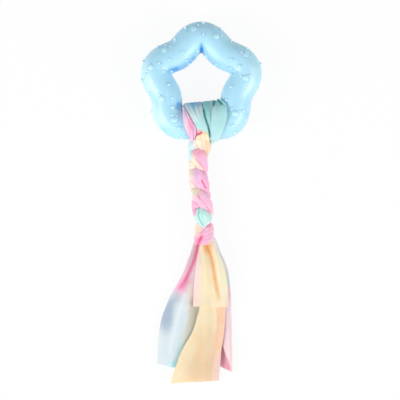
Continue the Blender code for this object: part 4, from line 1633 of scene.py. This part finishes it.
@dataclass
class Studio:
    """White table, soft boxes and the camera that looks straight down.

    Attributes:
        lens: Focal length in millimetres.
        sensor: Sensor width in millimetres.
        focus_z: Height at which the photograph's scale holds.
        floor_size: Width and length of the table.
        floor_tone: Colour of the table.
        shadow_share: How much of the floor answers to light, which shows the shadow.
        sky: Strength of the light from all round.
        far_sky: Strength of it at the far side, past the ring.
        sky_tone: Colour of it.
        white: Colour that the camera sees beyond the table.
        aim: Place that the soft boxes face.
        boxes: The soft boxes.
    """

    lens: float = 135.0
    sensor: float = 36.0
    focus_z: float = 0.010
    floor_size: float = 6.0
    floor_tone: tuple[float, ...] = (0.93, 0.93, 0.93, 1.0)
    shadow_share: float = 0.09
    sky: float = 0.52
    far_sky: float = 0.31
    sky_tone: tuple[float, ...] = (0.95, 0.99, 1.05, 1.0)
    white: tuple[float, ...] = (1.0, 1.0, 1.0, 1.0)
    aim: tuple[float, float, float] = (0.0, 0.05, 0.01)
    boxes: tuple[SoftBox, ...] = (
        SoftBox("left_box", (-1.05, -0.38, 0.78), (0.74, 0.6), 10.9),
        SoftBox("right_box", (1.02, -0.40, 0.78), (0.74, 0.6), 9.3))

    def camera(self) -> None:
        """Set the camera over the middle of the photograph."""
        width = PHOTO.metres_per_pixel * PHOTO.picture_pixels
        data = bpy.data.cameras.new("overhead")
        data.lens = self.lens
        data.sensor_width = self.sensor
        camera = bpy.data.objects.new("overhead", data)
        bpy.context.scene.collection.objects.link(camera)
        middle = PHOTO.middle
        camera.location = (middle[0], middle[1],
                           self.focus_z + width * self.lens / self.sensor)
        bpy.context.scene.camera = camera

    def floor(self) -> None:
        """Lay a white table that keeps a faint shadow."""
        deselect_all()
        bpy.ops.mesh.primitive_plane_add(size=self.floor_size, location=(0.0, 0.0, 0.0))
        floor = bpy.context.object
        floor.name = "table"
        material = bpy.data.materials.new("white_table")
        graph = Graph(material)
        graph.nodes.remove(graph.nodes["Principled BSDF"])
        matt = graph.add("BsdfDiffuse", {"Color": self.floor_tone})
        glow = graph.add("Emission", {"Strength": 1.0})
        lean = graph.add("MixShader", {"Fac": self.shadow_share})
        graph.link(glow.outputs["Emission"], lean.inputs[1])
        graph.link(matt.outputs["BSDF"], lean.inputs[2])
        ray = graph.add("LightPath")
        seen = ray.outputs["Is Camera Ray"]
        for kind in ("Is Glossy Ray", "Is Transmission Ray"):
            either = graph.add("Math", operation="MAXIMUM")
            graph.link(seen, either.inputs[0])
            graph.link(ray.outputs[kind], either.inputs[1])
            seen = either.outputs[0]
        mix = graph.add("MixShader")
        graph.link(seen, mix.inputs["Fac"])
        graph.link(matt.outputs["BSDF"], mix.inputs[1])
        graph.link(lean.outputs["Shader"], mix.inputs[2])
        graph.link(mix.outputs["Shader"], graph.nodes["Material Output"].inputs["Surface"])
        floor.data.materials.append(material)

    def world(self) -> None:
        """Fill the room with plain light, white where the camera looks."""
        world = bpy.data.worlds.new("studio")
        bpy.context.scene.world = world
        graph = Graph(world)
        back = graph.nodes["Background"]
        seen = graph.add("LightPath").outputs["Is Camera Ray"]
        tone = graph.add("MixRGB", {"Color1": self.sky_tone, "Color2": self.white})
        graph.link(seen, tone.inputs["Fac"])
        graph.link(tone.outputs["Color"], back.inputs["Color"])
        way = graph.add("TexCoord")
        part = graph.add("SeparateXYZ")
        graph.link(way.outputs["Generated"], part.inputs["Vector"])
        dim = graph.add("MapRange", {"To Min": self.sky, "To Max": self.far_sky})
        graph.link(part.outputs["Y"], dim.inputs["Value"])
        level = graph.add("MapRange", {"To Max": 1.0})
        graph.link(dim.outputs["Result"], level.inputs["To Min"])
        graph.link(seen, level.inputs["Value"])
        graph.link(level.outputs["Result"], back.inputs["Strength"])

    def build(self) -> None:
        """Set up the camera, the table and the light."""
        self.camera()
        self.floor()
        self.world()
        for box in self.boxes:
            box.hang(Vector(self.aim))
        bpy.context.scene.view_settings.view_transform = "Standard"


# Painted shade: dark teal in the shaded groove between the mint and sky loops.
NECK_GROOVE = Line(((203.6, 111.0), (204.8, 118.0), (208.0, 126.5), (210.2, 137.0)),
                   1.1, Tone.TEAL, 0.85, -0.0007, 0.0)

PINK_LOOP_DYE_AND_SHADE = DyeAndPaintedLight(
    Tone.LILAC,
    (Spot((191.5, 126.0), (2.4, 7.0), Tone.ROSE, 1.0), Spot((184.0, 116.0), (2.0, 7.0), Tone.LILAC, 1.5),
     Spot((186.5, 124.0), (1.8, 6.0), Tone.BLUSH, 0.8), Spot((192.5, 136.0), (2.5, 3.5), Tone.PINK, 2.0),
     Spot((183.0, 103.0), (4.0, 4.5), Tone.PALE_MINT, 6.0)),
    # Painted shade: deeper rose in the pleat's groove.
    (Line(((190.6, 113.0), (193.5, 121.0), (197.5, 129.0)), 1.1, Tone.ROSE, 0.8, -0.0004),
     Line(((187.0, 112.0), (189.5, 121.0), (191.5, 130.0), (192.0, 139.0)), 1.4, None, 1.0, 0.0007)))

MINT_LOOP_DYE_AND_SHADE = DyeAndPaintedLight(
    Tone.MINT,
    # Painted shade: the steel blue spot is the shaded pleat at the hem.
    (Spot((193.0, 105.5), (3.4, 3.2), Tone.STEEL, 2.4), Spot((198.5, 111.0), (2.6, 6.0), Tone.MIST, 1.2),
     Spot((203.0, 104.5), (2.0, 3.5), Tone.BLUE_GREY, 1.4),
     Spot((203.0, 126.0), (3.0, 6.0), Tone.BREEZE, 1.4),
     Spot((192.0, 115.0), (2.6, 6.0), Tone.PALE_MINT, 1.4),
     Spot((186.0, 104.5), (3.0, 4.0), Tone.FROST, 3.0)),
    (Line(((184.4, 104.0), (189.0, 112.0), (194.4, 121.0), (199.0, 128.0)), 1.6, Tone.FROST, 0.55),
     # Painted shade: the steel pleat line, the orange creases, the teal streaks, the neck groove, and the tan
     # and crimson grooves.
     Line(((190.6, 104.5), (193.6, 111.0), (196.6, 118.0)), 1.2, Tone.STEEL, 0.6),
     Line(((199.4, 132.6), (201.2, 139.0)), 0.6, Tone.ORANGE, 0.4, 0.0, 0.0),
     Line(((204.4, 133.6), (205.8, 139.0)), 0.6, Tone.ORANGE, 0.45, 0.0, 0.0),
     Line(((198.5, 103.0), (199.5, 109.0)), 0.7, Tone.TEAL, 0.45),
     Line(((202.2, 102.0), (203.0, 107.0)), 0.8, Tone.TEAL, 0.5),
     NECK_GROOVE,
     Line(((198.6, 130.4), (202.0, 132.2), (206.0, 134.0), (210.4, 137.2)), 0.7, Tone.TAN, 0.8, -0.0006, 0.0),
     Line(((197.4, 135.6), (199.6, 134.6), (202.6, 132.8)), 1.0, Tone.CRIMSON, 0.95, -0.0008, 0.2),
     Line(((198.2, 135.0), (200.4, 133.6), (202.4, 132.4)), 1.4, Tone.CRIMSON, 0.5, 0.0, 0.1)),
    (Patch(((192.0, 132.5), (197.0, 129.6), (200.6, 131.2), (206.0, 133.6), (210.6, 137.0),
            (211.0, 146.0), (192.0, 146.0)), Tone.PEACH, 0.9),
     Patch(((191.0, 133.0), (197.0, 130.2), (200.0, 132.2), (196.4, 136.6), (194.6, 141.0),
            (191.0, 141.0)), Tone.PINK, 1.0)))

SKY_LOOP_DYE_AND_SHADE = DyeAndPaintedLight(
    Tone.MINT,
    (Spot((206.5, 108.0), (3.0, 7.0), Tone.SEA, 1.4), Spot((211.0, 107.0), (1.6, 6.0), Tone.MINT, 1.4),
     Spot((217.5, 122.0), (5.0, 9.0), Tone.BREEZE, 0.6), Spot((218.0, 104.0), (3.0, 3.5), Tone.SEA, 0.3),
     Spot((224.5, 109.0), (2.5, 6.0), Tone.CYAN, 1.0), Spot((211.5, 138.0), (4.0, 8.0), Tone.BREEZE, 1.6)),
    # Painted shade: the teal pleat grooves and the sea-green streak.
    (Line(((214.3, 100.0), (214.0, 104.0), (213.4, 109.0)), 1.1, Tone.TEAL, 1.0, -0.0006),
     Line(((218.2, 101.0), (220.6, 104.0), (222.6, 107.5)), 1.1, Tone.TEAL, 0.95, -0.0005),
     Line(((216.8, 107.0), (216.8, 114.0)), 0.7, Tone.SEA, 0.6),
     NECK_GROOVE))

LEFT_STRAND_DYE_AND_SHADE = DyeAndPaintedLight(
    Tone.PINK,
    (Spot((192.0, 161.0), (4.0, 5.0), Tone.PALE_PEACH, 1.6),
     Spot((201.0, 150.0), (6.0, 4.0), Tone.CORAL, 1.2),
     Spot((204.0, 158.0), (6.0, 7.0), Tone.PINK), Spot((197.0, 152.0), (4.0, 3.0), Tone.CORAL, 1.0),
     Spot((191.0, 186.0), (4.0, 5.0), Tone.PALE_PEACH), Spot((202.0, 216.0), (9.0, 8.0), Tone.FOAM, 2.4),
     Spot((204.0, 134.0), (6.0, 5.0), Tone.PALE_PEACH)),
    (Line(((192.0, 161.5), (198.0, 165.0), (204.0, 172.0)), 1.7, Tone.BUTTER, 0.8, 0.0, 0.2),
     # Painted shade: the rose crease and the sea-green groove.
     Line(((196.4, 159.5), (200.0, 163.4), (205.5, 170.5)), 0.6, Tone.ROSE, 0.8, -0.0007, 0.2),
     Line(((199.4, 207.0), (198.4, 216.0), (200.6, 221.0), (204.0, 227.0)),
          0.6, Tone.SEA, 0.9, -0.0006, 0.1)),
    (Patch(((186.0, 147.0), (192.0, 149.0), (192.0, 155.0), (191.0, 160.0), (189.6, 164.0),
            (186.0, 165.0)), Tone.PALE_MINT, 1.2),
     Patch(((190.0, 204.0), (196.6, 209.4), (196.2, 213.0), (194.6, 216.4), (191.6, 218.0),
            (188.0, 212.0)), Tone.PINK, 1.0)))

MIDDLE_STRAND_DYE_AND_SHADE = DyeAndPaintedLight(
    Tone.PALE_PEACH,
    (Spot((207.0, 145.0), (5.0, 8.0), Tone.APRICOT, 0.6), Spot((200.0, 142.0), (3.5, 6.0), Tone.PALE_PEACH),
     Spot((201.5, 151.0), (3.0, 4.0), Tone.BLUSH), Spot((190.0, 170.0), (3.0, 9.0), Tone.PALE_PEACH),
     Spot((192.4, 189.0), (2.4, 5.0), Tone.LEAF, 1.6), Spot((197.5, 187.0), (5.0, 5.0), Tone.BUTTER, 1.4),
     Spot((207.0, 200.0), (8.0, 10.0), Tone.PINK, 2.0), Spot((199.0, 201.0), (5.0, 5.0), Tone.PINK)),
    # Painted shade: orange and rose creases.
    (Line(((201.0, 137.0), (202.4, 146.0), (204.6, 154.0)), 0.5, Tone.ORANGE, 0.4, -0.0004),
     Line(((205.6, 138.0), (206.4, 147.0), (207.4, 155.0)), 0.5, Tone.ORANGE, 0.45, -0.0004),
     Line(((198.0, 195.5), (203.0, 201.5), (207.5, 207.5), (212.0, 213.5)),
          0.6, Tone.ROSE, 0.9, -0.0007, 0.2)))

RIGHT_STRAND_DYE_AND_SHADE = DyeAndPaintedLight(
    Tone.PINK,
    (Spot((190.0, 151.0), (4.0, 7.0), Tone.PALE_MINT, 4.0),
     Spot((212.0, 137.0), (7.0, 6.0), Tone.BREEZE, 1.5),
     Spot((197.5, 173.0), (4.5, 6.0), Tone.LILAC, 1.3), Spot((190.5, 172.0), (3.0, 8.0), Tone.CREAM),
     Spot((206.0, 178.0), (6.0, 8.0), Tone.PINK, 1.4), Spot((193.0, 208.0), (3.0, 8.0), Tone.PINK, 1.2)),
    # Painted shade: the deep pink and rose creases.
    (Line(((202.0, 180.5), (204.3, 185.4), (206.9, 189.6)), 0.9, Tone.HOT_PINK, 0.85, -0.0009, 0.25),
     Line(((196.4, 170.0), (199.0, 176.0)), 0.6, Tone.ROSE, 0.4, -0.0003)),
    (Patch(((194.6, 138.0), (202.0, 138.0), (202.0, 152.0), (196.4, 149.0), (193.6, 145.0)),
           Tone.PALE_PEACH, 2.0),))

KNOT_DYE_AND_SHADE = DyeAndPaintedLight(
    Tone.PINK,
    (Spot((197.0, 229.0), (3.5, 6.0), Tone.PEACH, 1.6), Spot((202.0, 221.5), (3.4, 3.0), Tone.FOAM, 2.4),
     Spot((209.5, 225.5), (3.0, 3.0), Tone.CORAL, 1.6), Spot((213.0, 242.5), (3.0, 2.5), Tone.PEACH, 1.4),
     Spot((206.0, 236.0), (6.0, 6.0), Tone.PINK, 1.5), Spot((197.5, 239.0), (2.5, 2.5), Tone.ROSE, 1.0)),
    # Painted shade: deep pink and rose creases.
    (Line(((201.4, 237.0), (199.8, 240.0), (198.2, 244.5)), 2.0, Tone.HOT_PINK, 0.95, -0.0010, 0.0),
     Line(((211.0, 222.5), (205.5, 227.5), (200.5, 234.5)), 0.6, Tone.ROSE, 0.5, -0.0005, 0.1)))

LEFT_END_DYE_AND_SHADE = DyeAndPaintedLight(
    Tone.MIST,
    (Spot((186.0, 262.0), (8.0, 20.0), Tone.BLUSH, 1.2), Spot((184.0, 264.0), (7.0, 18.0), Tone.CORAL, 1.2),
     Spot((197.0, 272.0), (4.5, 22.0), Tone.BLUSH, 2.5),
     Spot((180.0, 284.0), (6.0, 8.0), Tone.PINK, 1.5), Spot((192.0, 289.0), (5.0, 9.0), Tone.PALE_PEACH, 1.6),
     Spot((167.5, 316.0), (6.5, 12.0), Tone.BLUE_GREY, 1.2),
     Spot((176.0, 320.0), (3.5, 16.0), Tone.MIST, 1.4),
     # Painted shadow: brown beside the long end's edge.
     Spot((196.5, 312.0), (4.5, 9.0), Tone.TAN, 2.2),
     Spot((161.0, 350.0), (5.0, 14.0), Tone.MIST, 0.7), Spot((171.0, 350.0), (4.0, 14.0), Tone.MIST, 1.4),
     Spot((181.0, 350.0), (4.0, 8.0), Tone.MINT, 0.5), Spot((173.6, 364.5), (3.0, 3.0), Tone.CYAN, 4.0)),
    # Painted shade: the cerise crease and the wider cerise shade below it.
    (Line(((199.6, 240.0), (197.4, 248.0), (194.6, 260.0), (189.8, 272.0), (184.0, 283.0), (175.4, 295.0)),
          1.9, Tone.CERISE, 0.90, -0.0004, 0.30),
     Line(((186.5, 282.0), (181.5, 288.0), (177.0, 292.0)), 4.0, Tone.CERISE, 0.45, 0.0, 0.5),
     Line(((176.5, 296.0), (168.0, 311.0), (164.0, 326.0), (162.5, 338.0)),
          4.4, Tone.BLUE_GREY, 0.5, 0.0, 0.5),
     Line(((196.0, 306.0), (192.0, 321.0), (187.0, 336.0), (182.0, 350.0), (178.0, 362.0)),
          4.4, Tone.KHAKI, 0.95, 0.0, 0.6),
     Line(((184.5, 296.0), (177.5, 318.0), (171.5, 342.0), (168.0, 362.0)), 2.2, Tone.FROST, 0.45, 0.0, 0.3),
     Line(((176.0, 304.0), (172.0, 330.0), (169.0, 366.0)), 4.0, None, 1.0, 0.0016, 0.0),
     Line(((184.0, 312.0), (181.0, 335.0), (178.0, 366.0)), 3.0, None, 1.0, -0.0008, 0.0)))

RIGHT_END_DYE = DyeAndPaintedLight(
    Tone.SHELL,
    (Spot((219.0, 252.0), (5.0, 16.0), Tone.FROST, 3.6), Spot((228.0, 281.0), (3.0, 5.0), Tone.FOAM, 1.2),
     Spot((229.0, 300.0), (6.0, 12.0), Tone.BLUSH, 1.5), Spot((228.0, 330.0), (5.0, 20.0), Tone.BLUSH, 0.8)),
    (Line(((226.5, 300.0), (228.0, 330.0), (229.5, 370.0)), 2.5, None, 1.0, 0.0010, 0.0),))

BACK_END_DYE = DyeAndPaintedLight(Tone.CORAL, (Spot((225.0, 360.0), (6.0, 14.0), Tone.CORAL, 1.5),
                                Spot((222.0, 300.0), (8.0, 20.0), Tone.PINK)))

HIDDEN_END_DYE = DyeAndPaintedLight(Tone.CYAN, (Spot((172.0, 364.0), (10.0, 14.0), Tone.CYAN, 1.5),
                                 Spot((185.0, 300.0), (10.0, 20.0), Tone.MINT)))

LONG_END_DYE_AND_SHADE = DyeAndPaintedLight(
    Tone.PEACH,
    (Spot((205.0, 316.0), (9.0, 12.0), Tone.PEACH, 1.4), Spot((205.0, 345.0), (9.0, 16.0), Tone.APRICOT, 0.9),
     Spot((201.0, 368.0), (12.0, 12.0), Tone.SAND, 1.3), Spot((184.0, 352.0), (5.0, 14.0), Tone.PEACH, 1.0),
     Spot((176.0, 377.0), (5.0, 8.0), Tone.PEACH, 1.0), Spot((220.5, 318.0), (2.6, 22.0), Tone.SALMON, 2.8),
     Spot((216.5, 368.0), (2.8, 14.0), Tone.CLAY, 2.8), Spot((217.5, 347.0), (2.4, 10.0), Tone.SALMON, 2.0)),
    # Painted shade: apricot along the fold line.
    (Line(((217.2, 309.4), (219.0, 319.0), (217.2, 336.0), (213.9, 352.8), (212.2, 369.4), (211.6, 381.0)),
          1.3, Tone.APRICOT, 0.7, -0.0008, 0.0),
     Line(((207.0, 306.0), (207.0, 330.0), (203.0, 355.0), (199.0, 381.0)), 6.0, None, 1.0, 0.0012, 0.0)))

FRONT_END_DYE_AND_SHADE = DyeAndPaintedLight(
    Tone.PEACH,
    (Spot((196.0, 276.0), (3.5, 26.0), Tone.BLUSH, 1.0), Spot((205.0, 284.0), (5.0, 18.0), Tone.PEACH, 1.2),
     Spot((208.0, 296.0), (5.0, 9.0), Tone.PEACH, 1.2), Spot((219.5, 262.0), (3.5, 14.0), Tone.CREAM, 1.0),
     # Painted shade: the orange spot at the end of this row and the orange line below are the shaded pleat.
     Spot((222.5, 285.0), (3.5, 14.0), Tone.CREAM, 1.2), Spot((207.3, 248.5), (2.4, 3.6), Tone.ORANGE, 1.5)),
    (Line(((206.2, 245.5), (210.0, 253.0), (212.8, 264.0), (214.4, 275.0), (216.7, 287.0), (218.9, 297.0),
           (221.0, 306.0)), 2.0, Tone.ORANGE, 0.80, -0.0012, 0.30),
     Line(((203.5, 246.0), (205.0, 262.0), (207.5, 280.0), (211.0, 300.0)), 3.2, None, 1.0, 0.0020, 0.5),
     Line(((212.0, 247.5), (217.0, 260.0), (219.5, 275.0), (222.5, 292.0)), 3.0, None, 1.0, 0.0018, 0.5)))


def loops() -> list[ClothLoop]:
    """Return the three loops over the ring, from the left."""
    return [
        ClothLoop("pink_wrap", "pink_loop", "cloth_pink", 1,
                  (Valley(0.55, 0.70, 0.08, 0.40),), PINK_LOOP_DYE_AND_SHADE,
                  ((191.2, 141.4), (193.4, 140.6)), (0.0105, 0.0142)),
        ClothLoop("mint_wrap", "mint_loop", "cloth_mint", 3,
                  (Valley(0.22, 0.30, 0.07, 0.28, 0.55), Valley(0.48, 0.50, 0.06, 0.30, 0.35),
                   Valley(0.74, 0.80, 0.06, 0.35, 0.30)), MINT_LOOP_DYE_AND_SHADE,
                  ((194.4, 143.0), (209.6, 143.4)), (0.0095, 0.0122)),
        ClothLoop("sky_wrap", "sky_loop", "cloth_sky", 5,
                  (Valley(0.656, -0.08, 0.025, 0.60, 1.0, 5.0), Valley(0.68, 1.46, 0.04, 0.75, 0.20),
                   Valley(0.30, 0.20, 0.06, 0.35, 0.45)), SKY_LOOP_DYE_AND_SHADE,
                  ((211.0, 144.2), (214.8, 142.4)), (0.0120, 0.0152)),
    ]


def free_ends() -> list[FreeEnd]:
    """Return the six free ends, from the one on the table up."""
    return [
        FreeEnd("back_end", "back_tail", "cloth_pink", 0, 0.1085, 0.0262,
                ((0.0, 0.06, 0.32), (0.10, 0.12, 0.56), (0.40, 0.26, 0.88), (1.0, 0.44, 0.98)),
                0.06, BACK_END_DYE, (0.020, 0.112), ("table",)),
        FreeEnd("hidden_end", "hidden_tail", "cloth_mint", 0, 0.1050, 0.0310,
                ((0.0, -0.20, 0.01), (0.15, -0.42, 0.0), (0.50, -0.84, 0.0),
                 (0.80, -0.99, -0.05), (1.0, -1.0, -0.20)),
                0.03, HIDDEN_END_DYE, (0.028, 0.108), ("table",)),
        FreeEnd("left_end", "left_tail", "cloth_grey_blue", 1, 0.1078, 0.0425,
                ((0.0, -0.20, -0.02), (0.06, -0.32, -0.03), (0.12, -0.37, -0.03),
                 (0.22, -0.465, -0.04), (0.31, -0.59, -0.05), (0.45, -0.81, -0.05),
                 (0.55, -0.895, -0.06), (0.62, -0.935, -0.08), (0.76, -0.98, -0.12),
                 (1.0, -1.0, -0.22)),
                0.06, LEFT_END_DYE_AND_SHADE, (0.036, 0.110), ("hidden_end", "table"), gather_depth=0.0),
        FreeEnd("right_end", "right_tail", "cloth_pale_pink", 1, 0.1090, 0.0260,
                ((0.0, 0.06, 0.34), (0.014, 0.07, 0.45), (0.06, 0.10, 0.69), (0.18, 0.18, 0.87),
                 (0.32, 0.26, 0.94), (0.46, 0.34, 0.97), (0.79, 0.61, 0.99), (1.0, 0.90, 1.0)),
                0.08, RIGHT_END_DYE, (0.018, 0.112), ("back_end", "table"), into_knot=0.0040),
        FreeEnd("long_end", "long_tail", "cloth_peach", 2, 0.1205, 0.0303,
                ((0.0, -0.12, 0.26), (0.16, -0.14, 0.55), (0.44, -0.08, 0.67),
                 (0.54, -0.09, 0.66), (0.60, -0.30, 0.64), (0.69, -0.54, 0.55),
                 (0.88, -0.86, 0.49), (1.0, -1.0, 0.46)),
                -0.02, LONG_END_DYE_AND_SHADE, (0.032, 0.124), ("left_end", "right_end")),
        FreeEnd("front_end", "front_tail", "cloth_peach", 3, 0.0518, 0.0238,
                ((0.0, -0.12, 0.31), (0.03, -0.15, 0.42), (0.12, -0.25, 0.62), (0.44, -0.33, 0.85),
                 (0.69, -0.38, 0.92), (1.0, -0.40, 0.88)),
                0.01, FRONT_END_DYE_AND_SHADE, (0.031, 0.056), ("long_end",), rows=56),
    ]


def main() -> None:
    """Build and dress the toy, then the studio round it."""
    logging.basicConfig(level=logging.INFO, format="%(message)s")
    ring = ChewRing()
    ring.build()
    for loop in loops():
        loop.build(ring)
    plait = Plait()
    plait.strand(0, "left_strand_roll", "strand_left", LEFT_STRAND_DYE_AND_SHADE, (204.0, 227.6))
    plait.strand(1, "middle_strand_roll", "strand_middle", MIDDLE_STRAND_DYE_AND_SHADE)
    plait.strand(2, "right_strand_roll", "strand_right", RIGHT_STRAND_DYE_AND_SHADE)
    EndKnot().build(KNOT_DYE_AND_SHADE)
    for end in free_ends():
        end.build()
    Studio().build()


if __name__ == "__main__":
    main()
